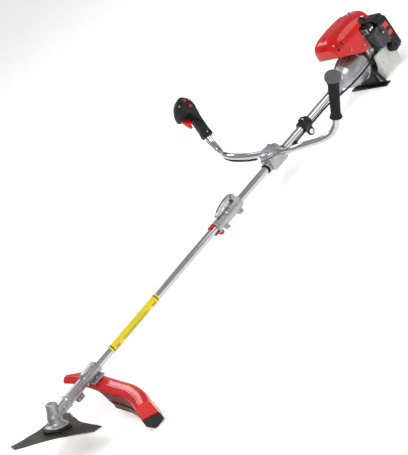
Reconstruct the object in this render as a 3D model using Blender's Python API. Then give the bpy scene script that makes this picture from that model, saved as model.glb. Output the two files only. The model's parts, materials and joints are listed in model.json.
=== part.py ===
"""Petrol brush cutter: split shaft, bull handlebar, three-tooth blade and clutch-driven engine.

Every piece is drawn in the shaft frame: +X runs along the shaft from the gear head to the engine,
+Z is up and +Y is the operator's right hand. rest_on_floor() then lays the machine on z = 0.
"""

import math

import bmesh
import bpy
from mathutils import Matrix, Vector

# Driving dimensions, in metres and degrees
TUBE_RADIUS = 0.0130
TUBE_WALL = 0.0015
SHAFT_RADIUS = 0.0040
GAP = 0.0003
BAR_FIT = 0.0006
GEAR_TILT = 24.5
BLADE_RADIUS = 0.150
BLADE_DROP = 0.043
BLADE_THICKNESS = 0.0016
BLADE_TEETH_AT = 69.9
PINION_TEETH = 15
CROWN_TEETH = 20
CONE_DISTANCE = 0.0165
GEAR_FACE = 0.0060
LOWER_TURN = 4.0
TUBE_START = 0.032
COUPLER_X = 0.880
TUBE_JOINT = 0.900
SHAFT_JOINT = 0.894
CLAMP_X = 1.146
BAR_HEIGHT = 0.027
BAR_RADIUS = 0.0110
HANGER_X = 1.322
SOCKET_X = 1.497
CYLINDER_X = 1.674
CRANK_THROW = 0.013
TUBE_END = 1.545
GUARD_DEPTH = 0.1435
GUARD_TIP = 0.1240
STAND_DEPTH = 0.1000
GUARD_FLOOR_X = 0.120
STAND_X = 1.6465
CABLE_RADIUS = 0.0032

X_AXIS = Vector((1.0, 0.0, 0.0))
Y_AXIS = Vector((0.0, 1.0, 0.0))
Z_AXIS = Vector((0.0, 0.0, 1.0))
ORIGIN = Vector((0.0, 0.0, 0.0))
BLADE_AXIS = Vector((math.sin(math.radians(GEAR_TILT)), 0.0, math.cos(math.radians(GEAR_TILT))))
BLADE_BACK = Vector((math.cos(math.radians(GEAR_TILT)), 0.0, -math.sin(math.radians(GEAR_TILT))))
BORE = TUBE_RADIUS + GAP
# The lower unit is clocked a little round the shaft, away from the handlebar's level
CLOCKED = Matrix.Rotation(math.radians(LOWER_TURN), 4, "X")
SPIN_AXIS = CLOCKED.to_3x3() @ BLADE_AXIS
GUARD_BOLT = (0.172, 0.022)
LEVER_PIVOT = (0.926, 0.0, 0.0325)
RELEASE_X = 0.822

# Handlebar centre line on the right, from the clamp to the foot of the grip
BAR_START = (CLAMP_X, 0.003, BAR_HEIGHT)
BAR_ROUTE = [
    (CLAMP_X, 0.036, BAR_HEIGHT),
    (1.132, 0.095, 0.035),
    (1.122, 0.155, 0.048),
    (1.133, 0.205, 0.050),
    (1.155, 0.250, 0.043),
    (1.176, 0.290, 0.046),
    (1.189, 0.317, 0.064),
    (1.197, 0.332, 0.086),
]
GRIP_FOOT = Vector((1.197, 0.332, 0.086))
GRIP_TOP = Vector((1.234, 0.383, 0.205))
GRIP_AXIS = (GRIP_TOP - GRIP_FOOT).normalized()
# Outer corner x and y, deck width, deck height, foot of the outer wall, foot of the inner wall
GUARD_STATIONS = [
    (0.186, 0.160, 0.040, -0.0270, -0.046, -0.0360),
    (0.203, 0.095, 0.052, -0.0245, -0.056, -0.0360),
    (0.205, 0.030, 0.057, -0.0245, -0.072, -0.0370),
    (0.199, -0.045, 0.058, -0.0260, -0.088, -0.0400),
    (0.1965, -0.075, 0.058, -0.0265, -0.094, -0.0820),
    (0.193, -0.115, 0.057, -0.0270, -0.100, -0.0880),
    (0.187, -0.180, 0.056, -0.0280, -0.105, -0.0900),
    (0.170, -0.240, 0.054, -0.0310, -0.108, -0.0930),
    (0.142, -0.288, 0.050, -0.0360, -0.110, -0.0960),
]
GUARD_WALL = 0.0026
SKIRT_WALL = 0.0024
SKIRT_GAP = 0.0004
SKIRT_FROM = 13
TRIGGER_PIVOT = (0.040, 0.0, 0.112)
LOCKOUT_PIVOT = (-0.012, 0.0, 0.072)
BUTTONS = {"stop_switch": (0.006, 0.152), "start_lock_button": (-0.002, 0.126)}
PLUG_FOOT = Vector((CYLINDER_X + 0.010, -0.006, 0.104))
PLUG_AXIS = Vector((0.74, -0.46, 0.49)).normalized()
PRIMER_AT = Vector((1.6800, -0.0623, 0.0200))
CHOKE_PIVOT = Vector((1.7270, -0.1042, 0.0520))
# Along the shaft: x, half width, top, foot
SHROUD_STATIONS = [
    (1.5600, 0.040, 0.118, 0.090),
    (1.5660, 0.050, 0.132, 0.088),
    (1.5850, 0.058, 0.141, 0.078),
    (1.6200, 0.064, 0.145, 0.055),
    (1.6600, 0.0675, 0.147, 0.036),
    (1.7100, 0.0665, 0.146, 0.040),
    (1.7570, 0.0620, 0.137, 0.046),
]
STARTER_BACK = 1.8080
CAP_AT = Vector((1.7340, -0.0903, -0.0120))
TANK_FRONT = 1.6575
TANK_BACK = 1.7500
LOWER_UNIT = (
    "gear_case", "gear_head_bearing", "pinion_gear", "crown_gear", "output_shaft", "wrap_guard",
    "blade_flange", "cutting_blade", "blade_cup", "blade_nut", "guard", "guard_skirt", "guard_bracket",
    "guard_bolt_left", "guard_bolt_right",
)

# name: colour, roughness, metallic
FINISHES = {
    "cast_aluminium": ((0.62, 0.62, 0.64), 0.42, 1.0),
    "polished_tube": ((0.75, 0.75, 0.77), 0.22, 1.0),
    "steel": ((0.55, 0.55, 0.57), 0.32, 1.0),
    "blade_paint": ((0.16, 0.16, 0.14), 0.55, 0.3),
    "red_plastic": ((0.75, 0.02, 0.02), 0.25, 0.0),
    "black_plastic": ((0.03, 0.03, 0.03), 0.45, 0.0),
    "black_rubber": ((0.05, 0.05, 0.05), 0.75, 0.0),
    "grey_plastic": ((0.30, 0.30, 0.31), 0.50, 0.0),
    "tank_plastic": ((0.72, 0.72, 0.70), 0.40, 0.0),
    "ceramic": ((0.90, 0.90, 0.88), 0.25, 0.0),
}


# ---------------------------------------------------------------- helpers


def clear_scene():
    for thing in list(bpy.data.objects):
        bpy.data.objects.remove(thing)


def finish_of(name):
    found = bpy.data.materials.get(name)
    if found:
        return found
    colour, roughness, metallic = FINISHES[name]
    made = bpy.data.materials.new(name)
    made.use_nodes = True
    shader = made.node_tree.nodes["Principled BSDF"]
    shader.inputs["Base Color"].default_value = (*colour, 1.0)
    shader.inputs["Roughness"].default_value = roughness
    shader.inputs["Metallic"].default_value = metallic
    return made


def frame(origin, up, side=None):
    """A placement whose local Z runs along up and whose local X leans to side."""
    up = Vector(up).normalized()
    side = Vector(side if side else (X_AXIS if abs(up.x) < 0.9 else -Y_AXIS))
    across = (side - up * side.dot(up)).normalized()
    turn = Matrix((across, up.cross(across), up)).transposed()
    return Matrix.Translation(Vector(origin)) @ turn.to_4x4()


ALONG = frame(ORIGIN, X_AXIS, -Y_AXIS)
BLADE_FRAME = frame(ORIGIN, BLADE_AXIS, BLADE_BACK)


def object_from(name, shape, finish, placed=None):
    if placed:
        bmesh.ops.transform(shape, matrix=placed, verts=shape.verts)
    bmesh.ops.recalc_face_normals(shape, faces=shape.faces)
    mesh = bpy.data.meshes.new(name)
    shape.to_mesh(mesh)
    shape.free()
    mesh.shade_smooth()
    mesh.set_sharp_from_angle(angle=math.radians(35))
    mesh.materials.append(finish_of(finish))
    made = bpy.data.objects.new(name, mesh)
    bpy.context.scene.collection.objects.link(made)
    return made


def skin(rings, looped=False):
    """A closed skin over rings with equal point counts; a ring of one point is a pole."""
    shape = bmesh.new()
    rows = [[shape.verts.new(point) for point in ring] for ring in rings]
    pairs = list(zip(rows, rows[1:] + rows[:1])) if looped else list(zip(rows, rows[1:]))
    for low, high in pairs:
        count = max(len(low), len(high))
        for i in range(count):
            j = (i + 1) % count
            corners = [low[i % len(low)], low[j % len(low)], high[j % len(high)], high[i % len(high)]]
            shape.faces.new(list(dict.fromkeys(corners)))
    if not looped:
        for end in (rows[0], rows[-1]):
            if len(end) > 2:
                shape.faces.new(end)
    return shape


def lathe(name, finish, profile, placed, segments=18, hollow=False):
    """Turns (height, radius) points about the placement's Z; hollow joins the last point to the first."""
    rings = []
    for height, radius in profile:
        if radius == 0.0:
            rings.append([Vector((0.0, 0.0, height))])
            continue
        turns = [2.0 * math.pi * i / segments for i in range(segments)]
        rings.append([Vector((radius * math.cos(a), radius * math.sin(a), height)) for a in turns])
    return object_from(name, skin(rings, looped=hollow), finish, placed)


def rod(name, finish, start, end, radius, segments=16):
    start, end = Vector(start), Vector(end)
    length = (end - start).length
    profile = [(0.0, 0.0), (0.0, radius), (length, radius), (length, 0.0)]
    return lathe(name, finish, profile, frame(start, end - start), segments)


def slab(name, finish, outline, placed, low, high, bevel=0.0):
    """An outline in the placement's XY plane, filled from low to high along its Z."""
    rings = [[Vector((x, y, height)) for x, y in outline] for height in (low, high)]
    shape = skin(rings)
    if bevel:
        rims = [e for e in shape.edges if abs(e.verts[0].co.z - e.verts[1].co.z) < 1e-7]
        bmesh.ops.bevel(shape, geom=rims, offset=bevel, segments=2, profile=0.5, affect="EDGES")
    return object_from(name, shape, finish, placed)


def block(name, finish, low, high, bevel=0.0, segments=2):
    low, high = Vector(low), Vector(high)
    shape = bmesh.new()
    bmesh.ops.create_cube(shape, size=1.0)
    bmesh.ops.scale(shape, vec=high - low, verts=shape.verts)
    bmesh.ops.translate(shape, vec=(low + high) / 2.0, verts=shape.verts)
    if bevel:
        bmesh.ops.bevel(shape, geom=shape.edges[:], offset=bevel, segments=segments, profile=0.5,
                        affect="EDGES")
    return object_from(name, shape, finish)


def smooth_route(points, steps):
    """A Catmull-Rom curve through the points, with steps stretches between neighbours."""
    points = [Vector(p) for p in points]
    padded = [2 * points[0] - points[1], *points, 2 * points[-1] - points[-2]]
    route = []
    for a, b, c, d in zip(padded, padded[1:], padded[2:], padded[3:]):
        for i in range(steps):
            t = i / steps
            bend = 2 * b + (c - a) * t + (2 * a - 5 * b + 4 * c - d) * t * t
            route.append((bend + (3 * b - a - 3 * c + d) * t * t * t) / 2.0)
    return [*route, points[-1]]


def tube_rings(route, radius, segments):
    rings = []
    across = Z_AXIS
    for i, point in enumerate(route):
        ahead = (route[min(i + 1, len(route) - 1)] - route[max(i - 1, 0)]).normalized()
        across = (across - ahead * across.dot(ahead)).normalized()
        beside = ahead.cross(across)
        turns = [2.0 * math.pi * k / segments for k in range(segments)]
        rings.append([point + radius * (across * math.cos(a) + beside * math.sin(a)) for a in turns])
    return rings


def pipe(name, finish, route, radius, wall=0.0, segments=12):
    rings = tube_rings(route, radius, segments)
    if wall:
        rings += tube_rings(route, radius - wall, segments)[::-1]
    return object_from(name, skin(rings, looped=bool(wall)), finish)


def combine(target, tool, operation, solver):
    """Applies one Boolean to target and removes the tool."""
    change = target.modifiers.new(operation.lower(), "BOOLEAN")
    change.operation = operation
    change.solver = solver
    change.object = tool
    bpy.context.view_layer.update()
    graph = bpy.context.evaluated_depsgraph_get()
    mesh = bpy.data.meshes.new_from_object(target.evaluated_get(graph))
    target.modifiers.clear()
    target.data = mesh
    bpy.data.objects.remove(tool)
    shape = bmesh.new()
    shape.from_mesh(mesh)
    bmesh.ops.remove_doubles(shape, verts=shape.verts, dist=1e-6)
    shape.to_mesh(mesh)
    shape.free()
    mesh.shade_smooth()
    mesh.set_sharp_from_angle(angle=math.radians(35))
    return target


def cut(target, tool, solver="EXACT"):
    return combine(target, tool, "DIFFERENCE", solver)


def join(target, tool, solver="EXACT"):
    return combine(target, tool, "UNION", solver)


def hinge_on(piece, point):
    """Moves the piece's origin to a point on its joint's axis."""
    piece.data.transform(Matrix.Translation(-Vector(point)))
    piece.location = Vector(point)
    return piece


def ring_outline(count, radius, start=0.0, end=360.0):
    """Points on an arc; a full circle leaves out the repeated last point."""
    stretches = count if end - start == 360.0 else count - 1
    turns = [math.radians(start + (end - start) * i / stretches) for i in range(count)]
    return [(radius * math.cos(a), radius * math.sin(a)) for a in turns]


# ---------------------------------------------------------------- gear head and blade


def cone_angles():
    """Pitch cone angles of the pinion and the crown, for shafts 90 + GEAR_TILT degrees apart."""
    spread = math.radians(90.0 + GEAR_TILT)
    pinion = math.atan2(math.sin(spread), CROWN_TEETH / PINION_TEETH + math.cos(spread))
    return pinion, spread - pinion


def bevel_gear(name, teeth, cone, placed, bore, hub_radius, hub_length, tooth_at):
    addendum, dedendum = 0.0009, 0.0013
    tip_share, root_share = 0.10, 0.24
    pitch = 2.0 * math.pi / teeth

    def toothed(distance):
        points = []
        scale = distance / CONE_DISTANCE
        for i in range(teeth):
            for share, rise in ((-root_share, -dedendum), (-tip_share, addendum), (tip_share, addendum),
                                (root_share, -dedendum)):
                turn = tooth_at + pitch * (i + share)
                radius = distance * math.sin(cone) + rise * scale * math.cos(cone)
                height = distance * math.cos(cone) - rise * scale * math.sin(cone)
                points.append(Vector((radius * math.cos(turn), radius * math.sin(turn), height)))
        return points

    def plain(height, radius):
        turns = [math.atan2(p.y, p.x) for p in heel]
        return [Vector((radius * math.cos(a), radius * math.sin(a), height)) for a in turns]

    heel = toothed(CONE_DISTANCE)
    toe = toothed(CONE_DISTANCE - GEAR_FACE)
    back = CONE_DISTANCE * math.cos(cone) + hub_length
    front = (CONE_DISTANCE - GEAR_FACE) * math.cos(cone)
    rings = [heel, plain(back, hub_radius), plain(back, bore), plain(front, bore), toe]
    return object_from(name, skin(rings, looped=True), "steel", placed)


def gear_head():
    profile = [
        (-0.0300, 0.0), (-0.0300, 0.0350), (-0.0292, 0.0358), (-0.0262, 0.0352), (-0.0235, 0.0300),
        (-0.0205, 0.0245), (-0.0160, 0.0225), (0.0020, 0.0222), (0.0100, 0.0190), (0.0360, 0.0172),
        (0.0400, 0.0160), (0.0410, 0.0140), (0.0410, 0.0),
    ]
    case = lathe("gear_case", "cast_aluminium", profile, BLADE_FRAME, 22)
    neck = [(0.0, 0.0), (0.0, 0.0192), (0.0580, 0.0196), (0.0620, 0.0180), (0.0640, 0.0172),
            (0.1340, 0.0168), (0.1370, 0.0158), (0.1370, 0.0)]
    join(case, lathe("neck", "cast_aluminium", neck, ALONG, 18))
    join(case, block("lug", "cast_aluminium", (0.086, -0.0085, -0.0330), (0.114, 0.0085, -0.0125), 0.003))
    cut(case, rod("gear_room", "steel", BLADE_AXIS * -0.040, BLADE_AXIS * 0.0025, 0.0186, 24))
    cut(case, rod("pinion_room", "steel", (-0.002, 0, 0), (TUBE_START - 0.002, 0, 0), 0.0142, 20))
    cut(case, rod("tube_bore", "steel", (0.010, 0, 0), (0.160, 0, 0), BORE, 18))

    pinion_cone, crown_cone = cone_angles()
    pinion_frame = frame(ORIGIN, X_AXIS, -Z_AXIS)
    bevel_gear("pinion_gear", PINION_TEETH, pinion_cone, pinion_frame, SHAFT_RADIUS + GAP, 0.0095, 0.0040,
               0.0)
    crown_frame = frame(ORIGIN, -BLADE_AXIS, BLADE_BACK)
    bevel_gear("crown_gear", CROWN_TEETH, crown_cone, crown_frame, 0.0063, 0.0115, 0.0060,
               math.pi / CROWN_TEETH)
    shaft = [(-0.0660, 0.0), (-0.0660, 0.0050), (-0.0650, 0.0060), (0.0010, 0.0060), (0.0010, 0.0)]
    lathe("output_shaft", "steel", shaft, BLADE_FRAME, 24)
    bearing = [(-0.0285, 0.0063), (-0.0285, 0.0183), (-0.0185, 0.0183), (-0.0185, 0.0063)]
    lathe("gear_head_bearing", "steel", bearing, BLADE_FRAME, 24, hollow=True)


def blade_outline():
    """Three teeth: each is a tapered arm with a straight leading edge and an oblique end."""
    tooth = [(0.0740, -50.0), (0.0850, -36.0), (0.1020, -23.5), (0.1250, -15.0), (0.1480, -9.5),
             (BLADE_RADIUS, 7.0), (0.1260, 13.5), (0.1020, 21.5), (0.0850, 33.0), (0.0740, 48.0)]
    points = []
    for i in range(3):
        for radius, turn in tooth:
            a = math.radians(-BLADE_TEETH_AT + 120.0 * i + turn)
            points.append((radius * math.cos(a), radius * math.sin(a)))
    return points


def blade_group():
    top = -BLADE_DROP + BLADE_THICKNESS / 2
    bottom = -BLADE_DROP - BLADE_THICKNESS / 2
    wrap = [(-0.0303, 0.0200), (-0.0303, 0.0400), (-0.0315, 0.0425), (-0.0400, 0.0432), (-0.0400, 0.0412),
            (-0.0335, 0.0395), (-0.0325, 0.0200)]
    lathe("wrap_guard", "black_plastic", wrap, BLADE_FRAME, 24, hollow=True)
    flange = [(-0.0290, 0.0063), (-0.0290, 0.0100), (-0.0385, 0.0110), (-0.0403, 0.0380), (-0.0410, 0.0400),
              (top + GAP, 0.0405), (top + GAP, 0.0123), (bottom + GAP, 0.0121), (bottom + GAP, 0.0063)]
    lathe("blade_flange", "steel", flange, BLADE_FRAME, 24, hollow=True)
    blade = slab("cutting_blade", "blade_paint", blade_outline(), BLADE_FRAME, bottom, top)
    cut(blade, rod("blade_hole", "steel", BLADE_AXIS * (bottom - 0.01), BLADE_AXIS * (top + 0.01), 0.0127))
    cup = [(bottom - GAP, 0.0063), (bottom - GAP, 0.0330), (bottom - 0.0030, 0.0330),
           (bottom - 0.0085, 0.0200),
           (bottom - 0.0085, 0.0063)]
    lathe("blade_cup", "steel", cup, BLADE_FRAME, 24, hollow=True)
    low, high = bottom - 0.0185, bottom - 0.0088
    nut = slab("blade_nut", "steel", ring_outline(6, 0.0105), BLADE_FRAME, low, high, 0.0008)
    cut(nut, rod("nut_bore", "steel", BLADE_AXIS * (low - 0.01), BLADE_AXIS * (high + 0.01), 0.0063))
    for name in ("output_shaft", "crown_gear", "blade_flange", "cutting_blade", "blade_cup", "blade_nut"):
        hinge_on(bpy.data.objects[name], ORIGIN)


# ---------------------------------------------------------------- guard


def guard_stations(steps):
    """(outer point, inward direction, width, deck, outer foot, inner foot) along the smoothed plan curve."""
    plan = smooth_route([(x, y, 0.0) for x, y, *_ in GUARD_STATIONS], steps)
    first = smooth_route([(w, d, 0.0) for _, _, w, d, _, _ in GUARD_STATIONS], steps)
    second = smooth_route([(o, i, 0.0) for _, _, _, _, o, i in GUARD_STATIONS], steps)
    stations = []
    for i, point in enumerate(plan):
        ahead = (plan[min(i + 1, len(plan) - 1)] - plan[max(i - 1, 0)]).normalized()
        inward = Vector((ahead.y, -ahead.x, 0.0))
        stations.append((point, inward, first[i].x, first[i].y, second[i].x, second[i].y))
    return stations


def guard():
    t = GUARD_WALL
    rings = []
    for point, inward, width, deck, outer, inner in guard_stations(3):
        section = [
            (width, inner), (width, deck - 0.006), (0.92 * width, deck - 0.001), (0.50 * width, deck + 0.003),
            (0.014, deck + 0.002), (0.003, deck - 0.004), (0.0, outer), (t, outer),
            (0.003 + t, deck - 0.0065),
            (0.016, deck + 0.002 - t), (0.50 * width, deck + 0.003 - t), (0.92 * width - t, deck - 0.001 - t),
            (width - t, deck - 0.006 - t), (width - t, inner),
        ]
        rings.append([point + inward * across + Z_AXIS * height for across, height in section])
    body = object_from("guard", skin(rings), "red_plastic")
    for side in (-1, 1):
        x, y = GUARD_BOLT
        cut(body, rod("hole", "steel", (x, side * y, -0.06), (x, side * y, 0.0), 0.0030, 16))
    return body


def guard_skirt():
    """A black strip hung on the inner wall, closing the guard's near end with a pointed foot."""
    t = SKIRT_WALL
    stations = guard_stations(3)[SKIRT_FROM:]
    rings = []
    for point, inward, width, deck, outer, inner in stations:
        low = point + inward * (width + SKIRT_GAP)
        high = low + inward * t
        top, bottom = Z_AXIS * (inner + 0.016), Z_AXIS * (inner - 0.008)
        rings.append([low + top, high + top, high + bottom, low + bottom])
    skirt = object_from("guard_skirt", skin(rings), "black_plastic")
    point, inward, width, deck, outer, inner = stations[-1]
    ahead = inward.cross(Z_AXIS) * -1.0
    heel = frame(point + ahead * SKIRT_GAP, ahead, inward)
    # local X points inward and local Y is vertical, with its sign given by the frame
    lift = 1.0 if heel.to_3x3().col[1].z > 0 else -1.0
    across = width + SKIRT_GAP + t
    outline = [(-0.002, outer + 0.022), (-0.002, outer - 0.004), (0.55 * across, -GUARD_TIP),
               (0.66 * across, -GUARD_TIP),
               (across, inner - 0.008), (across, inner + 0.016)]
    end = slab("skirt_end", "black_plastic", [(x, y * lift) for x, y in outline], heel, 0.0, t)
    corner = point + inward * (width + SKIRT_GAP)
    rings = []
    for side in (corner + inward * 0.0004, corner + inward * (t - 0.0004)):
        near, far = side - ahead * 0.004, side + ahead * (SKIRT_GAP + t / 2)
        rings.append([near + Z_AXIS * (inner + 0.012), far + Z_AXIS * (inner + 0.012),
                      far + Z_AXIS * (inner - 0.005),
                      near + Z_AXIS * (inner - 0.005)])
    join(end, object_from("skirt_bridge", skin(rings), "black_plastic"))
    return join(skirt, end)


def guard_bracket():
    saddle = [(0.1400, 0.0), (0.1400, 0.0172), (0.1430, 0.0185), (0.2030, 0.0185), (0.2060, 0.0172),
              (0.2060, 0.0)]
    bracket = lathe("guard_bracket", "cast_aluminium", saddle, ALONG, 18)
    join(bracket, block("plate", "cast_aluminium", (0.1500, -0.034, -0.0190), (0.1960, 0.034, -0.0140),
                        0.001))
    join(bracket, block("ear", "cast_aluminium", (0.1440, -0.0075, 0.0120), (0.2020, 0.0075, 0.0240), 0.0025))
    cut(bracket, rod("tube_bore", "steel", (0.10, 0, 0), (0.25, 0, 0), BORE, 18))
    for side, name in ((-1, "guard_bolt_left"), (1, "guard_bolt_right")):
        x, y = GUARD_BOLT
        cut(bracket, rod("hole", "steel", (x, side * y, -0.03), (x, side * y, 0.0), 0.0030, 16))
        profile = [(-0.0360, 0.0), (-0.0360, 0.0050), (-0.0320, 0.0050), (-0.0320, 0.0027), (-0.0136, 0.0027),
                   (-0.0136, 0.0052), (-0.0096, 0.0048), (-0.0090, 0.0)]
        lathe(name, "steel", profile, frame((x, side * y, 0.0), Z_AXIS), 16)


# ---------------------------------------------------------------- shaft, coupler and hanger


def straight_tube(name, start, end):
    inner = TUBE_RADIUS - TUBE_WALL
    profile = [(start, inner), (start, TUBE_RADIUS), (end, TUBE_RADIUS), (end, inner)]
    return lathe(name, "polished_tube", profile, ALONG, 18, hollow=True)


def shafts():
    straight_tube("lower_tube", TUBE_START, TUBE_JOINT)
    straight_tube("upper_tube", TUBE_JOINT + 0.0005, TUBE_END)
    r = SHAFT_RADIUS
    rod("lower_drive_shaft", "steel", (0.0083, 0, 0), (SHAFT_JOINT - 0.0005, 0, 0), r, 12)
    socket = [(SHAFT_JOINT, 0.0), (SHAFT_JOINT, r + GAP), (SHAFT_JOINT - 0.0220, r + GAP),
              (SHAFT_JOINT - 0.0220, 0.0075), (SHAFT_JOINT + 0.0080, 0.0075), (SHAFT_JOINT + 0.0110, r),
              (1.5740, r), (1.5740, 0.0)]
    lathe("upper_drive_shaft", "steel", socket, ALONG, 12)
    for name in ("lower_drive_shaft", "upper_drive_shaft", "pinion_gear"):
        hinge_on(bpy.data.objects[name], (COUPLER_X, 0, 0))


def coupler():
    sleeve = [(0.8120, 0.0), (0.8120, 0.0175), (0.8140, 0.0190), (0.8700, 0.0190), (0.8800, 0.0200),
              (0.9380, 0.0200),
              (0.9440, 0.0170), (0.9440, 0.0)]
    body = lathe("coupler_body", "cast_aluminium", sleeve, ALONG, 18)
    for low, high in ((0.8420, 0.8580), (0.9130, 0.9330)):
        join(body, block("lug", "cast_aluminium", (low, -0.0090, -0.0340), (high, 0.0090, -0.0140), 0.003))
    join(body, block("deck", "cast_aluminium", (0.8900, -0.0150, 0.0100), (0.9420, 0.0150, 0.0205), 0.003))
    for side in (-1, 1):
        inner, outer = sorted((side * 0.0088, side * 0.0138))
        join(body, block("ear", "cast_aluminium", (0.9180, inner, 0.0150), (0.9340, outer, 0.0385), 0.0015))
    join(body, rod("boss", "cast_aluminium", (RELEASE_X, 0, -0.0140), (RELEASE_X, 0, -0.0215), 0.0085))
    cut(body, rod("tube_bore", "steel", (0.75, 0, 0), (1.0, 0, 0), BORE, 18))
    cut(body, rod("pin_hole", "steel", (RELEASE_X, 0, -0.005), (RELEASE_X, 0, -0.030), 0.0043, 16))

    arm = [(0.9325, 0.0265), (0.9340, 0.0395), (0.9200, 0.0430), (0.8900, 0.0425), (0.8620, 0.0370),
           (0.8390, 0.0270),
           (0.8360, 0.0225), (0.8440, 0.0205), (0.8640, 0.0270), (0.8880, 0.0320), (0.9160, 0.0325),
           (0.9205, 0.0265)]
    outline = [(x, -z) for x, z in arm]
    lever = slab("coupler_lever", "cast_aluminium", outline, frame(ORIGIN, Y_AXIS, X_AXIS), -0.0085, 0.0085,
                 0.0015)
    hinge_on(lever, LEVER_PIVOT)
    pin = [(0.0136, 0.0), (0.0136, 0.0040), (0.0219, 0.0040), (0.0219, 0.0095), (0.0270, 0.0105),
           (0.0310, 0.0080),
           (0.0325, 0.0)]
    hinge_on(lathe("coupler_pin", "red_plastic", pin, frame((RELEASE_X, 0, 0), -Z_AXIS), 20),
             (RELEASE_X, 0, 0))
    # ring open towards the operator's left
    ring = ring_outline(17, 0.0190, 50.0, 310.0) + ring_outline(17, TUBE_RADIUS + 0.0008, 50.0, 310.0)[::-1]
    slab("coupler_clip", "red_plastic", ring, ALONG, 0.7960, 0.8116)


def cable_seat():
    """Where the throttle cable lies against the shaft, seen along it."""
    reach = TUBE_RADIUS + CABLE_RADIUS + 0.0011
    return -reach * math.sin(math.radians(44)), -reach * math.cos(math.radians(44))


def harness_hanger():
    y, z = cable_seat()
    band = [(HANGER_X - 0.021, 0.0), (HANGER_X - 0.021, 0.0195), (HANGER_X - 0.018, 0.0210),
            (HANGER_X + 0.018, 0.0210),
            (HANGER_X + 0.021, 0.0195), (HANGER_X + 0.021, 0.0)]
    hanger = lathe("harness_hanger", "black_plastic", band, ALONG, 18)
    plate = [(-0.014, 0.015), (-0.014, 0.030)] + [
        (x, 0.034 - y) for x, y in ring_outline(9, 0.0135, 180.0, 360.0)
    ] + [(0.014, 0.030), (0.014, 0.015)]
    outline = [(HANGER_X + 0.006 + x, down) for x, down in plate]
    join(hanger, slab("eye", "black_plastic", outline, frame(ORIGIN, Y_AXIS, X_AXIS), -0.0035, 0.0035,
                      0.001), "MANIFOLD")
    join(hanger, block("bolt_pad", "black_plastic", (HANGER_X - 0.010, -0.006, 0.016),
                       (HANGER_X + 0.010, 0.006, 0.0260),
                       0.002), "MANIFOLD")
    cut(hanger, rod("tube_bore", "steel", (1.2, 0, 0), (1.4, 0, 0), BORE, 18), "MANIFOLD")
    cut(hanger, rod("cable_way", "steel", (1.2, y, z), (1.4, y, z), CABLE_RADIUS + 0.0008, 16), "MANIFOLD")
    eye_x, eye_z = HANGER_X + 0.006, -0.0345
    cut(hanger, rod("eye_hole", "steel", (eye_x, -0.02, eye_z), (eye_x, 0.02, eye_z), 0.0062, 20), "MANIFOLD")
    hinge_on(hanger, (HANGER_X, 0, 0))


# ---------------------------------------------------------------- handlebar


def handlebar_clamp():
    base = block("handlebar_clamp_base", "cast_aluminium", (CLAMP_X - 0.037, -0.0300, -0.0210),
                 (CLAMP_X + 0.037, 0.0300, BAR_HEIGHT - 0.0004), 0.008, 3)
    collar = [(CLAMP_X - 0.046, 0.0), (CLAMP_X - 0.046, 0.0180), (CLAMP_X + 0.046, 0.0180),
              (CLAMP_X + 0.046, 0.0)]
    join(base, lathe("collar", "cast_aluminium", collar, ALONG, 18))
    cut(base, rod("tube_bore", "steel", (1.0, 0, 0), (1.3, 0, 0), BORE, 18))
    cut(base, rod("bar_bore", "steel", (CLAMP_X, -0.1, BAR_HEIGHT), (CLAMP_X, 0.1, BAR_HEIGHT),
                  BAR_RADIUS + BAR_FIT, 20))

    dome = [(0.0004, 0.0), (0.0004, 0.0370), (0.0040, 0.0380), (0.0110, 0.0360), (0.0150, 0.0310),
            (0.0170, 0.0240),
            (0.0175, 0.0)]
    cap = lathe("handlebar_clamp_cap", "cast_aluminium", dome, frame((CLAMP_X, 0, BAR_HEIGHT), Z_AXIS), 24)
    for dx in (-0.023, 0.023):
        for y in (-0.015, 0.015):
            foot = (CLAMP_X + dx, y, BAR_HEIGHT + 0.012)
            join(cap, rod("bolt_head", "steel", foot, (CLAMP_X + dx, y, BAR_HEIGHT + 0.0195), 0.0050, 12))
    cut(cap, rod("bar_bore", "steel", (CLAMP_X, -0.1, BAR_HEIGHT), (CLAMP_X, 0.1, BAR_HEIGHT),
                 BAR_RADIUS + BAR_FIT, 20))


def mirrored(route):
    return [Vector((x, -y, z)) for x, y, z in route]


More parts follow.
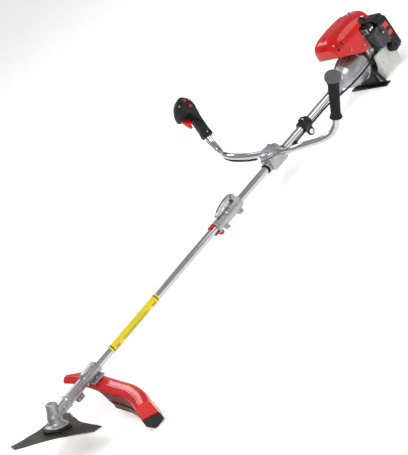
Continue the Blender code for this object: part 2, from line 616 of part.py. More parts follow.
def handlebars():
    bend = smooth_route(BAR_ROUTE, 2)
    route = [Vector(BAR_START), *bend, GRIP_FOOT + GRIP_AXIS * 0.070]
    hinge_point = (CLAMP_X, 0.0, BAR_HEIGHT)
    hinge_on(pipe("handlebar_right", "polished_tube", route, BAR_RADIUS, 0.0016, 10), hinge_point)
    left = mirrored([Vector(BAR_START), *bend, GRIP_FOOT + GRIP_AXIS * 0.130])
    hinge_on(pipe("handlebar_left", "polished_tube", left, BAR_RADIUS, 0.0016, 10), hinge_point)

    foot = Vector((GRIP_FOOT.x, -GRIP_FOOT.y, GRIP_FOOT.z))
    axis = Vector((GRIP_AXIS.x, -GRIP_AXIS.y, GRIP_AXIS.z))
    bore = BAR_RADIUS + BAR_FIT
    profile = [(0.004, bore), (0.004, 0.0185), (0.006, 0.0205), (0.012, 0.0195), (0.020, 0.0165),
               (0.060, 0.0180),
               (0.105, 0.0195), (0.122, 0.0200), (0.130, 0.0245), (0.144, 0.0265), (0.156, 0.0235),
               (0.162, 0.0150),
               (0.163, 0.0), (0.1305, 0.0), (0.1305, bore)]
    rings = [[Vector((r * math.cos(a), r * math.sin(a), h)) for a in [math.tau * i / 20 for i in range(20)]]
             if r else [Vector((0, 0, h))] for h, r in profile]
    shape = skin(rings[:13])
    bmesh.ops.delete(shape, geom=[f for f in shape.faces if len(f.verts) > 4], context="FACES_ONLY")
    inner = skin(rings[13:] + [rings[0]])
    bmesh.ops.delete(inner, geom=[f for f in inner.faces if len(f.verts) > 4], context="FACES_ONLY")
    held = bpy.data.meshes.new("inner")
    inner.to_mesh(held)
    inner.free()
    shape.from_mesh(held)
    bpy.data.meshes.remove(held)
    bmesh.ops.remove_doubles(shape, verts=shape.verts, dist=1e-6)
    hinge_on(object_from("left_grip", shape, "black_rubber", frame(foot, axis)), hinge_point)


def handle_frame():
    """Local X is forwards to the blade, local Y faces the machine's middle, local Z runs up the grip."""
    return frame(GRIP_FOOT, GRIP_AXIS, -X_AXIS)


def handle_point(forward, side, up):
    return handle_frame() @ Vector((forward, side, up))


def side_slab(name, finish, outline, low, high, bevel=0.0):
    """An outline in the handle's forward and up plane, filled across the handle."""
    to_side = Matrix(((1, 0, 0, 0), (0, 0, 1, 0), (0, 1, 0, 0), (0, 0, 0, 1)))
    return slab(name, finish, outline, handle_frame() @ to_side, low, high, bevel)


def handle_shells():
    outline = [(-0.0170, 0.004), (-0.0190, 0.012), (-0.0165, 0.030), (-0.0165, 0.066), (-0.0180, 0.100),
               (-0.0230, 0.122),
               (-0.0210, 0.142), (-0.0090, 0.160), (0.0100, 0.172), (0.0280, 0.166), (0.0470, 0.148),
               (0.0600, 0.124),
               (0.0640, 0.104), (0.0600, 0.094), (0.0500, 0.092), (0.0180, 0.098), (0.0165, 0.080),
               (0.0165, 0.030),
               (0.0190, 0.012), (0.0170, 0.004)]
    for name, low, high, face in (("handle_shell_inner", 0.00015, 0.0185, 1),
                                  ("handle_shell_outer", -0.0185, -0.00015, -1)):
        shell = side_slab(name, "black_plastic", outline, low, high)
        shape = bmesh.new()
        shape.from_mesh(shell.data)
        to_local = handle_frame().inverted()
        rim = [e for e in shape.edges if all(face * (to_local @ v.co).y > 0.01 for v in e.verts)]
        bmesh.ops.bevel(shape, geom=rim, offset=0.0070, segments=3, profile=0.5, affect="EDGES")
        shape.to_mesh(shell.data)
        shape.free()
        shell.data.shade_smooth()
        shell.data.set_sharp_from_angle(angle=math.radians(35))
        cut(shell, rod("bar_bore", "steel", handle_point(0, 0, -0.02), handle_point(0, 0, 0.0705),
                       BAR_RADIUS + BAR_FIT, 20))
        slot = [(0.0120, 0.085), (0.0120, 0.122), (0.0520, 0.122), (0.0700, 0.060)]
        cut(shell, side_slab("trigger_slot", "steel", slot, -0.0058, 0.0058))
        slot = [(-0.0300, 0.0735), (-0.0095, 0.0735), (-0.0020, 0.090), (-0.0020, 0.115), (-0.0300, 0.115)]
        cut(shell, side_slab("lockout_slot", "steel", slot, -0.0050, 0.0050))
        if face > 0:
            for forward, up in BUTTONS.values():
                cut(shell, rod("button_hole", "steel", handle_point(forward, 0.0110, up),
                               handle_point(forward, 0.03, up),
                               0.0064, 20))
        hinge_on(shell, (CLAMP_X, 0.0, BAR_HEIGHT))


def handle_controls():
    trigger = [(0.0180, 0.0980), (0.0200, 0.1140), (0.0440, 0.1160), (0.0545, 0.1000), (0.0500, 0.0860),
               (0.0380, 0.0620),
               (0.0325, 0.0560), (0.0300, 0.0620), (0.0260, 0.0780)]
    piece = side_slab("throttle_trigger", "red_plastic", trigger, -0.0052, 0.0052, 0.0014)
    hinge_on(piece, handle_point(*TRIGGER_PIVOT))
    lockout = [(-0.0105, 0.0750), (-0.0150, 0.0745), (-0.0220, 0.0860), (-0.0255, 0.1060), (-0.0220, 0.1105),
               (-0.0150, 0.1090), (-0.0115, 0.0900)]
    piece = side_slab("lockout_lever", "red_plastic", lockout, -0.0045, 0.0045, 0.0010)
    hinge_on(piece, handle_point(*LOCKOUT_PIVOT))
    for name, (forward, up) in BUTTONS.items():
        knob = [(0.0145, 0.0), (0.0145, 0.0060), (0.0205, 0.0060), (0.0222, 0.0045), (0.0225, 0.0)]
        placed = frame(handle_point(forward, 0.0, up), handle_frame().to_3x3().col[1], GRIP_AXIS)
        hinge_on(lathe(name, "red_plastic", knob, placed, 20), handle_point(forward, 0.0, up))


def throttle_cable():
    """The cable in two lengths that meet beside the clamp: one on the bar, one on the shaft."""
    bend = smooth_route(BAR_ROUTE, 2)
    bend[0] = bend[0].lerp(bend[1], 0.5)
    bar = []
    for before, point, after in zip([Vector(BAR_START), *bend], bend,
                                    [*bend[1:], GRIP_FOOT + GRIP_AXIS * 0.01]):
        ahead = (after - before).normalized()
        under = Vector((-0.36, 0.0, -0.93))
        aside = (under - ahead * under.dot(ahead)).normalized()
        bar.append(point + aside * (BAR_RADIUS + CABLE_RADIUS + 0.0010))
    piece = pipe("throttle_cable_bar", "black_rubber", bar, CABLE_RADIUS, 0.0, 6)
    hinge_on(piece, (CLAMP_X, 0.0, BAR_HEIGHT))
    y, z = cable_seat()
    route = [(CLAMP_X - 0.0040, 0.0490, 0.0110), (CLAMP_X + 0.010, 0.0400, -0.0040),
             (CLAMP_X + 0.030, 0.0340, -0.0180),
             (CLAMP_X + 0.050, 0.0180, -0.0260), (CLAMP_X + 0.078, -0.0020, -0.0215), (CLAMP_X + 0.105, y, z),
             (1.300, y, z), (1.360, y, z), (1.420, y, z), (1.455, -0.0150, -0.0140),
             (1.485, -0.0260, -0.0150),
             (1.520, -0.0440, -0.0140), (1.555, -0.0590, -0.0100), (1.590, -0.0690, -0.0060),
             (1.622, -0.0745, -0.0020),
             (1.648, -0.0740, 0.0020), (1.6660, -0.0690, 0.0050)]
    pipe("throttle_cable_tube", "black_rubber", smooth_route(route, 2), CABLE_RADIUS, 0.0, 6)


# ---------------------------------------------------------------- engine


def clutch():
    outer = [(SOCKET_X, 0.0185), (SOCKET_X + 0.003, 0.0200), (1.5400, 0.0210), (1.5480, 0.0265),
             (1.5560, 0.0360),
             (1.5720, 0.0470), (1.6000, 0.0550), (1.6300, 0.0590), (1.6310, 0.0635), (1.6430, 0.0640)]
    inner = [(1.6430, 0.0570), (1.6000, 0.0510), (1.5720, 0.0430), (1.5600, 0.0330), (1.5510, 0.0200),
             (1.5480, BORE), (SOCKET_X, BORE)]
    housing = lathe("clutch_housing", "cast_aluminium", outer + inner, ALONG, 22, hollow=True)
    join(housing, block("clamp_lug", "cast_aluminium", (1.5060, -0.0080, -0.0330),
                        (1.5300, 0.0080, -0.0160), 0.003))
    drum = [(1.5580, SHAFT_RADIUS + GAP), (1.5580, 0.0090), (1.5740, 0.0090), (1.5745, 0.0360),
            (1.5770, 0.0380),
            (1.6120, 0.0380), (1.6120, 0.0350), (1.5785, 0.0350), (1.5785, SHAFT_RADIUS + GAP)]
    hinge_on(lathe("clutch_drum", "steel", drum, ALONG, 18, hollow=True), (COUPLER_X, 0, 0))
    shoes = ring_outline(11, 0.0335, 8.0, 172.0) + [(-0.0150, 0.0), *ring_outline(11, 0.0335, 188.0, 352.0),
                                                    (0.0150, 0.0)]
    rotor = slab("clutch_shoes", "steel", shoes, ALONG, 1.5840, 1.6040)
    cut(rotor, rod("rotor_bore", "steel", (1.57, 0, 0), (1.62, 0, 0), 0.0063, 20))
    hinge_on(rotor, (CYLINDER_X, 0, 0))


def crank_and_case():
    profile = [(1.6433, 0.0), (1.6433, 0.0550), (1.6465, 0.0550), (1.6475, 0.0470), (1.7057, 0.0460),
               (1.7057, 0.0)]
    case = lathe("crankcase", "cast_aluminium", profile, ALONG, 18)
    join(case, block("cylinder_seat", "cast_aluminium", (CYLINDER_X - 0.026, -0.0300, 0.0),
                     (CYLINDER_X + 0.0238, 0.0300,
                     0.0480), 0.002))
    cut(case, rod("crank_room", "steel", (1.6530, 0, 0), (1.7200, 0, 0), 0.0225, 22))
    cut(case, rod("crank_bore", "steel", (1.6000, 0, 0), (1.6600, 0, 0), 0.0066, 20))
    cut(case, rod("barrel_bore", "steel", (CYLINDER_X, 0, 0.0), (CYLINDER_X, 0, 0.060), 0.0195, 24))
    crank = rod("crankshaft", "steel", (1.5820, 0, 0), (1.6620, 0, 0), 0.0060)
    join(crank, rod("front_web", "steel", (1.6580, 0, 0), (1.6660, 0, 0), 0.0200, 20))
    join(crank, rod("crank_pin", "steel", (1.6640, CRANK_THROW, 0), (1.6840, CRANK_THROW, 0), 0.0050))
    join(crank, rod("rear_web", "steel", (1.6820, 0, 0), (1.6900, 0, 0), 0.0200, 20))
    join(crank, rod("tail", "steel", (1.6880, 0, 0), (1.7720, 0, 0), 0.0060))
    hinge_on(crank, (CYLINDER_X, 0, 0))
    fins = []
    for i in range(24):
        a = math.tau * i / 24
        for share, radius in ((-0.20, 0.0430), (-0.12, 0.0600), (0.12, 0.0600), (0.20, 0.0430)):
            turn = a + share * math.tau / 24 * 1.2
            fins.append((radius * math.cos(turn), radius * math.sin(turn)))
    wheel = slab("flywheel", "cast_aluminium", fins, ALONG, 1.7120, 1.7380)
    cut(wheel, rod("wheel_bore", "steel", (1.69, 0, 0), (1.76, 0, 0), 0.0063, 20))
    hinge_on(wheel, (CYLINDER_X, 0, 0))


def barrel():
    base, top = 0.0483, 0.1150
    profile = [(base, 0.0), (base, 0.0260), (base + 0.0040, 0.0260), (base + 0.0040, 0.0235)]
    for i in range(6):
        z = base + 0.0090 + 0.0090 * i
        profile += [(z, 0.0235), (z, 0.0300), (z + 0.0024, 0.0300), (z + 0.0024, 0.0235)]
    profile += [(top - 0.004, 0.0235), (top, 0.0180), (top, 0.0)]
    piece = lathe("cylinder", "cast_aluminium", profile, frame((CYLINDER_X, 0, 0), Z_AXIS), 16)
    join(piece, block("intake", "cast_aluminium", (CYLINDER_X - 0.016, -0.0400, 0.0560),
                      (CYLINDER_X + 0.016, -0.018, 0.0760)))
    join(piece, block("exhaust", "cast_aluminium", (CYLINDER_X - 0.018, 0.018, 0.0600),
                      (CYLINDER_X + 0.018, 0.0420, 0.0840)))
    join(piece, rod("plug_seat", "cast_aluminium", PLUG_FOOT, PLUG_FOOT + PLUG_AXIS * 0.0200, 0.0100, 16))
    cut(piece, rod("bore", "steel", (CYLINDER_X, 0, 0.030), (CYLINDER_X, 0, 0.0990), 0.0193, 24))
    crown = [(0.0560, 0.0), (0.0560, 0.0189), (0.0830, 0.0189), (0.0840, 0.0170), (0.0840, 0.0)]
    hinge_on(lathe("piston", "cast_aluminium", crown, frame((CYLINDER_X, 0, 0), Z_AXIS), 24),
             (CYLINDER_X, 0, 0))
    plug = [(0.0203, 0.0), (0.0203, 0.0090), (0.0280, 0.0090), (0.0280, 0.0060), (0.0420, 0.0045),
            (0.0460, 0.0030),
            (0.0460, 0.0)]
    lathe("spark_plug", "ceramic", plug, frame(PLUG_FOOT, PLUG_AXIS), 12)
    boot = [(0.0290, 0.0), (0.0290, 0.0095), (0.0310, 0.0105), (0.0490, 0.0100), (0.0540, 0.0070),
            (0.0550, 0.0)]
    cover = lathe("plug_boot", "black_rubber", boot, frame(PLUG_FOOT, PLUG_AXIS), 16)
    cut(cover, rod("plug_room", "steel", PLUG_FOOT, PLUG_FOOT + PLUG_AXIS * 0.0465, 0.0064, 16))
    tip = PLUG_FOOT + PLUG_AXIS * 0.0500
    lead = [tip, tip + Vector((0.006, -0.012, -0.001)), (1.7290, -0.0560, 0.1180), (1.7240, -0.0640, 0.1070),
            (1.7150, -0.0660, 0.1000)]
    join(cover, pipe("lead", "black_rubber", smooth_route(lead, 3), 0.0034, 0.0, 8))


def engine_fittings():
    coil = block("ignition_coil", "black_plastic", (1.6950, -0.0860, 0.0720), (1.7260, -0.0540, 0.0990),
                 0.004, 2)
    lead_end = Vector((1.7150, -0.0660, 0.1000))
    cut(coil, rod("lead_seat", "steel", lead_end - Z_AXIS * 0.0065, lead_end + Z_AXIS * 0.02, 0.0048, 12))
    carb = block("carburettor", "cast_aluminium", (1.6600, -0.0620, 0.0000), (1.6920, -0.0480, 0.0780), 0.003)
    join(carb, block("intake_neck", "cast_aluminium", (1.6620, -0.0500, 0.0560), (1.6860, -0.0405, 0.0760)))
    cut(carb, rod("throat", "steel", (CYLINDER_X, -0.10, 0.066), (CYLINDER_X, 0.0, 0.066), 0.0070, 16))
    cut(carb, rod("primer_seat", "steel", PRIMER_AT + Y_AXIS * 0.0055, PRIMER_AT - Y_AXIS * 0.01, 0.0084, 20))
    cleaner = block("air_cleaner", "grey_plastic", (1.7000, -0.1000, 0.0090), (1.7540, -0.0760, 0.0690),
                    0.004)
    for i in range(5):
        x = 1.7080 + 0.0095 * i
        join(cleaner, block("rib", "grey_plastic", (x, -0.1030, 0.0150), (x + 0.0035, -0.0980, 0.0630)))
    primer = [(0.0, 0.0), (0.0, 0.0075), (0.0030, 0.0078), (0.0075, 0.0060), (0.0095, 0.0025), (0.0100, 0.0)]
    hinge_on(lathe("primer_bulb", "ceramic", primer, frame(PRIMER_AT, -Y_AXIS), 16), PRIMER_AT)
    outline = [(-0.005, -0.005), (0.0280, -0.003), (0.0280, 0.003), (-0.005, 0.005)]
    choke = slab("choke_lever", "black_plastic", outline, frame(CHOKE_PIVOT, -Y_AXIS, Z_AXIS), 0.0, 0.0035,
                 0.0006)
    hinge_on(choke, CHOKE_PIVOT)
    box = block("muffler", "steel", (1.6450, 0.0423, 0.0440), (1.7050, 0.0850, 0.1080), 0.007, 2)
    join(box, rod("outlet", "steel", (1.6500, 0.080, 0.0560), (1.6500, 0.094, 0.0500), 0.0060, 16))
    cut(box, rod("outlet_bore", "steel", (1.6500, 0.070, 0.0603), (1.6500, 0.110, 0.0431), 0.0045, 16))


def hump(name, stations, shrink):
    """A rounded hood: each section is a superellipse arch over a flat foot."""
    rings = []
    for x, half, top, foot in stations:
        half, top = half - shrink, top - shrink
        ring = []
        for i in range(17):
            a = math.pi * i / 16
            across = math.copysign(abs(math.cos(a)) ** 0.62, math.cos(a))
            ring.append(Vector((x, half * across, foot + (top - foot) * math.sin(a) ** 0.62)))
        rings.append(ring)
    return object_from(name, skin(rings), "red_plastic")


def engine_shroud():
    wall = 0.0024
    shroud = hump("engine_shroud", SHROUD_STATIONS, 0.0)
    inside = [(x, half, top, foot - 0.010) for x, half, top, foot in SHROUD_STATIONS]
    inside[0] = (SHROUD_STATIONS[0][0] + wall, *inside[0][1:])
    inside.append((1.7700, 0.0600, 0.1320, 0.0280))
    cut(shroud, hump("room", inside, wall), "MANIFOLD")
    cut(shroud, block("rear_left_opening", "steel", (1.6780, -0.0900, 0.0), (1.8000, -0.0300, 0.1080)),
        "MANIFOLD")
    cut(shroud, block("plug_opening", "steel", (1.7000, -0.0900, 0.1000), (1.7460, -0.0120, 0.2000)),
        "MANIFOLD")
    cut(shroud, block("muffler_opening", "steel", (1.6340, 0.0300, 0.0), (1.7180, 0.1100, 0.1140)),
        "MANIFOLD")
    for i in range(4):
        x = 1.5660 + 0.0120 * i
        cut(shroud, block("vent", "steel", (x, -0.1000, 0.1050), (x + 0.005, -0.0300, 0.1260)), "MANIFOLD")


def fan_and_starter():
    shell = [(1.7060, 0.0300), (1.7060, 0.0680), (1.7090, 0.0710), (1.7580, 0.0710), (1.7580, 0.0680),
             (1.7090, 0.0660),
             (1.7085, 0.0300)]
    lathe("fan_housing", "grey_plastic", shell, ALONG, 18, hollow=True)

    def rounded(half, low, high, corner):
        points = []
        for cy, cz, start in ((half - corner, high - corner, 0), (-half + corner, high - corner, 90),
                              (-half + corner, low + corner, 180), (half - corner, low + corner, 270)):
            points += [(cy + y, cz + z) for y, z in ring_outline(5, corner, start, start + 90)]
        return points

    placed = frame(ORIGIN, X_AXIS, Y_AXIS)
    housing = slab("starter_housing", "black_plastic", rounded(0.068, -0.058, 0.084, 0.024), placed, 1.7585,
                   STARTER_BACK, 0.006)
    cut(housing, slab("room", "steel", rounded(0.0645, -0.0545, 0.0805, 0.021), placed, 1.7400,
                      STARTER_BACK - 0.004))
    cut(housing, rod("rope_hole", "steel", (1.7830, 0.050, 0.030), (1.7830, 0.10, 0.030), 0.0030, 12))
    for i in range(5):
        z = -0.030 + 0.014 * i
        cut(housing, block("slot", "steel", (STARTER_BACK - 0.018, -0.030, z),
                           (STARTER_BACK + 0.012, 0.030, z + 0.006)))
    grip = block("starter_grip", "black_plastic", (1.7740, 0.0684, 0.0130), (1.7920, 0.0840, 0.0470), 0.005,
                 2)
    hinge_on(grip, (1.7830, 0.0684, 0.0300))


def fuel_system():
    def saddle(shrink):
        inner = 0.0770 + shrink
        half, low, top = 0.0900 - shrink, -0.0930 + shrink, 0.0040 - shrink
        arc = [(inner * math.cos(a), inner * math.sin(a)) for a in
               [math.radians(-4 - 172 * i / 16) for i in range(17)]]
        return [*arc, (-inner, top), (-half + 0.004, top), (-half, top - 0.004), (-half, -0.060),
                (-half + 0.010, -0.083),
                (-half + 0.026, low), (half - 0.026, low), (half - 0.010, -0.083), (half, -0.060),
                (half, top - 0.004),
                (half - 0.004, top), (inner, top)]

    placed = frame(ORIGIN, X_AXIS, Y_AXIS)
    tank = slab("fuel_tank", "tank_plastic", saddle(0.0), placed, TANK_FRONT, TANK_BACK)
    neck = [(-0.001, 0.0), (-0.001, 0.0135), (0.0060, 0.0135), (0.0060, 0.0)]
    join(tank, lathe("neck", "tank_plastic", neck, frame(CAP_AT, -Y_AXIS), 20))
    cut(tank, slab("room", "steel", saddle(0.0026), placed, TANK_FRONT + 0.003, TANK_BACK - 0.003))
    cut(tank, rod("filler", "steel", CAP_AT + Y_AXIS * 0.010, CAP_AT - Y_AXIS * 0.020, 0.0100, 20))
    cap = [(-0.0020, 0.0), (-0.0020, 0.0090), (0.0064, 0.0090), (0.0064, 0.0140), (0.0020, 0.0140),
           (0.0020, 0.0175),
           (0.0230, 0.0170), (0.0250, 0.0150), (0.0250, 0.0)]
    hinge_on(lathe("fuel_cap", "black_plastic", cap, frame(CAP_AT, -Y_AXIS), 24), CAP_AT)


def engine_stand():
    arc = [(0.0595 * math.cos(a),
            0.0595 * math.sin(a)) for a in [math.radians(-38 - 104 * i / 12) for i in range(13)]]
    outline = [(0.0600, -0.0366), *arc, (-0.0600, -0.0366), (-0.0820, -0.0970), (0.0820, -0.0970)]
    placed = frame(ORIGIN, X_AXIS, Y_AXIS)
    web = slab("engine_stand", "black_plastic", outline, placed, STAND_X - 0.003, STAND_X + 0.003)
    foot = block("foot", "black_plastic", (STAND_X - 0.018, -0.0880, -STAND_DEPTH),
                 (STAND_X + 0.0100, 0.0880, -0.0945), 0.0015)
    join(web, foot)


# ---------------------------------------------------------------- whole machine


def clock_lower_unit():
    for name in LOWER_UNIT:
        bpy.data.objects[name].data.transform(CLOCKED)


def rest_on_floor():
    """Tips the shaft so that the guard and the stand touch z = 0, and centres the machine on the origin."""
    slope = math.atan2(GUARD_DEPTH - STAND_DEPTH, STAND_X - GUARD_FLOOR_X)
    whole = bpy.data.objects.new("machine_frame", None)
    bpy.context.scene.collection.objects.link(whole)
    for piece in list(bpy.data.objects):
        if piece.type == "MESH":
            piece.parent = whole
    whole.rotation_euler = (0.0, slope, 0.0)
    bpy.context.view_layer.update()
    corners = [p.matrix_world @ v.co for p in bpy.data.objects if p.type == "MESH" for v in p.data.vertices]
    low = Vector([min(c[i] for c in corners) for i in range(3)])
    high = Vector([max(c[i] for c in corners) for i in range(3)])
    whole.location = (-(low.x + high.x) / 2.0, -(low.y + high.y) / 2.0, -low.z)
    bpy.context.view_layer.update()


def main():
    clear_scene()
    gear_head()
    blade_group()
    guard()
    guard_skirt()
    guard_bracket()
    shafts()
    coupler()
    harness_hanger()
    handlebar_clamp()
    handlebars()
    handle_shells()
    handle_controls()
    throttle_cable()
    clutch()
    crank_and_case()
    barrel()
    engine_fittings()
    engine_shroud()
    fan_and_starter()
    fuel_system()
    engine_stand()
    clock_lower_unit()
    rest_on_floor()


main()
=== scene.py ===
"""The looks of a petrol brush cutter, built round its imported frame.

Every piece is drawn in the shaft frame: +X runs along the shaft from the gear head to the engine,
+Z is up and +Y is the operator's right hand. The joints of the frame say where that shaft lies.
"""

import json
import math

import bmesh
import bpy
from bpy.props import FloatProperty, FloatVectorProperty, PointerProperty
from mathutils import Matrix, Vector


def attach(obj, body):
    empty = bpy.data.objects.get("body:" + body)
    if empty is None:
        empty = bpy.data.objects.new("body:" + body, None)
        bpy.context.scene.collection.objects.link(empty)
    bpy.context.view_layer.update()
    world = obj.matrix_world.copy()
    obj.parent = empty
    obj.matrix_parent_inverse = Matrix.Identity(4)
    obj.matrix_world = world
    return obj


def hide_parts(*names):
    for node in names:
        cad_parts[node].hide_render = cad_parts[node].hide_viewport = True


bl_info = {
    "name": "Brush Cutter Looks",
    "version": (1, 0, 0),
    "blender": (4, 5, 0),
    "location": "View3D > Sidebar > Cutter",
    "description": "Builds the visible pieces of a petrol brush cutter round its frame",
    "category": "Object",
}

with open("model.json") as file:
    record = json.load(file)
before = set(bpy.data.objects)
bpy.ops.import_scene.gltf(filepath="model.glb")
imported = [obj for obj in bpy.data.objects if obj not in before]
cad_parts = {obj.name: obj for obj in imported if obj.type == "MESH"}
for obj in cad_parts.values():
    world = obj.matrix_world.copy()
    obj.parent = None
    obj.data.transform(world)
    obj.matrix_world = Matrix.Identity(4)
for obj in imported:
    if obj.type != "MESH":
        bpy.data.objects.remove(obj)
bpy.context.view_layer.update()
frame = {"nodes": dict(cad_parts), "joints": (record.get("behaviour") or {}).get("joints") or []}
JOINTS = {joint["name"]: joint for joint in frame["joints"]}

X_AXIS = Vector((1.0, 0.0, 0.0))
Y_AXIS = Vector((0.0, 1.0, 0.0))
Z_AXIS = Vector((0.0, 0.0, 1.0))
ORIGIN = Vector((0.0, 0.0, 0.0))


def shaft_placement():
    along = Vector(JOINTS["upper_drive_spin"]["axis"]).normalized()
    turn = Matrix((along, Y_AXIS, along.cross(Y_AXIS))).transposed().to_4x4()
    return Matrix.Translation(JOINTS["blade_spin"]["pos_m"]) @ turn


SHAFT = shaft_placement()
TO_SHAFT = SHAFT.inverted()


def pivot(joint):
    return TO_SHAFT @ Vector(JOINTS[joint]["pos_m"])


def direction(joint):
    return (TO_SHAFT.to_3x3() @ Vector(JOINTS[joint]["axis"])).normalized()


def span(node):
    """Lowest and highest corner of a frame node, measured in the shaft frame."""
    corners = [TO_SHAFT @ v.co for v in frame["nodes"][node].data.vertices]
    low = Vector([min(c[i] for c in corners) for i in range(3)])
    high = Vector([max(c[i] for c in corners) for i in range(3)])
    return low, high


SPIN = direction("blade_spin")
BLADE_AXIS = Vector((SPIN.x, 0.0, math.sqrt(1.0 - SPIN.x ** 2)))
BLADE_BACK = Vector((BLADE_AXIS.z, 0.0, -BLADE_AXIS.x))
# The gear head, blade and guard are clocked a little round the shaft, away from the handlebar's level
CLOCKED = Matrix.Rotation(math.atan2(-SPIN.y, SPIN.z), 4, "X")
TUBE_RADIUS = (span("lower_tube")[1].y - span("lower_tube")[0].y) / 2.0
CLAMP = pivot("handlebar_tilt")
CRANK_X = pivot("crank_spin").x
CAP_AT = pivot("fuel_cap_turn")

# Clearances and walls that several pieces share, in metres
FIT = 0.0003
BAR_FIT = 0.0006
TUBE_WALL = 0.0015
BAR_WALL = 0.0016
GUARD_WALL = 0.0026
SKIRT_WALL = 0.0024
SKIRT_GAP = 0.0004
HOOD_WALL = 0.0024
CASE_WALL = 0.0035
TANK_WALL = 0.0026
CREASE_ANGLE = 32.0
ARBOR_RADIUS = 0.0060
ARBOR_BORE = 0.0063
HEAD_ROOM = 0.0186
BLADE_BORE = 0.0127
CABLE_TURN = 44.0
CABLE_CLEARANCE = 0.0011


# ---------------------------------------------------------------- settings


class CutterSizes(bpy.types.PropertyGroup):
    """Sizes of the visible pieces that a user may change"""

    cable_radius: FloatProperty(name="Cable radius", description="Outer radius of the throttle cable",
                                default=0.0032, unit="LENGTH")
    sleeve_radius: FloatProperty(name="Sleeve radius", description="Outer radius of the cable's thick sleeve",
                                 default=0.0062, unit="LENGTH")
    bar_radius: FloatProperty(name="Bar radius", description="Outer radius of the handlebar", default=0.0110,
                              unit="LENGTH")
    film_thickness: FloatProperty(name="Film thickness",
                                  description="Thickness of the bands stuck on the shaft", default=0.00015,
                                  unit="LENGTH")
    ground_edge: FloatProperty(name="Ground edge", description="Width of the blade's sharpened edges",
                               default=0.0050, unit="LENGTH")
    camera_distance: FloatProperty(name="Camera distance",
                                   description="From the camera to the machine's middle", default=4.270,
                                   unit="LENGTH")
    camera_lens: FloatProperty(name="Lens", description="Focal length in millimetres", default=118.5)


def colour_setting(label, description, default):
    return FloatVectorProperty(name=label, description=description, default=default, size=3, min=0.0, max=1.0,
                               subtype="COLOR")


class CutterColours(bpy.types.PropertyGroup):
    """Base colours of the finishes"""

    red: colour_setting("Red", "Guard, engine cover and controls", (0.66, 0.004, 0.004))
    black: colour_setting("Black", "Moulded black parts", (0.006, 0.006, 0.0065))
    rubber: colour_setting("Rubber", "Cable and left grip", (0.013, 0.013, 0.014))
    grey: colour_setting("Grey", "Air cleaner and fan housing", (0.085, 0.085, 0.090))
    casting: colour_setting("Casting", "Blasted aluminium castings", (0.43, 0.43, 0.44))
    tube: colour_setting("Tube", "Drawn aluminium tube", (0.56, 0.56, 0.57))
    chrome: colour_setting("Chrome", "Plated handlebar", (0.58, 0.58, 0.59))
    steel: colour_setting("Steel", "Turned and stamped steel", (0.42, 0.42, 0.43))
    blade: colour_setting("Blade", "Coating of the blade", (0.026, 0.027, 0.021))
    film: colour_setting("Film", "Yellow band on the shaft", (0.80, 0.68, 0.02))
    film_accent: colour_setting("Film accent", "Orange bars on the band", (0.85, 0.20, 0.02))
    tank: colour_setting("Tank", "Milky fuel tank", (0.80, 0.80, 0.76))


def sizes():
    return bpy.context.scene.cutter_sizes


def tint(name):
    return tuple(getattr(bpy.context.scene.cutter_colours, name))


# ---------------------------------------------------------------- finishes


def node_of(tree, kind, **values):
    made = tree.nodes.new(kind)
    for key, value in values.items():
        setattr(made, key, value)
    return made


def speckle(tree, coordinates, scale, detail, stretch=(1.0, 1.0, 1.0)):
    """Noise laid over the row frame's metres, drawn out along an axis by stretch."""
    mapping = node_of(tree, "ShaderNodeMapping")
    mapping.inputs["Scale"].default_value = stretch
    noise = node_of(tree, "ShaderNodeTexNoise")
    noise.inputs["Scale"].default_value = scale
    noise.inputs["Detail"].default_value = detail
    tree.links.new(coordinates, mapping.inputs["Vector"])
    tree.links.new(mapping.outputs["Vector"], noise.inputs["Vector"])
    return noise.outputs["Fac"]


def spread(tree, value, low, high, start=0.35, end=0.65):
    ranged = node_of(tree, "ShaderNodeMapRange")
    ranged.inputs["From Min"].default_value = start
    ranged.inputs["From Max"].default_value = end
    ranged.inputs["To Min"].default_value = low
    ranged.inputs["To Max"].default_value = high
    tree.links.new(value, ranged.inputs["Value"])
    return ranged.outputs["Result"]


def blend_colour(tree, share, first, second):
    mix = node_of(tree, "ShaderNodeMix", data_type="RGBA")
    tree.links.new(share, mix.inputs[0])
    for socket, value in ((mix.inputs[6], first), (mix.inputs[7], second)):
        if isinstance(value, bpy.types.NodeSocket):
            tree.links.new(value, socket)
        else:
            socket.default_value = (*value, 1.0)
    return mix.outputs[2]


def scaled(colour, factor):
    return tuple(min(1.0, c * factor) for c in colour)


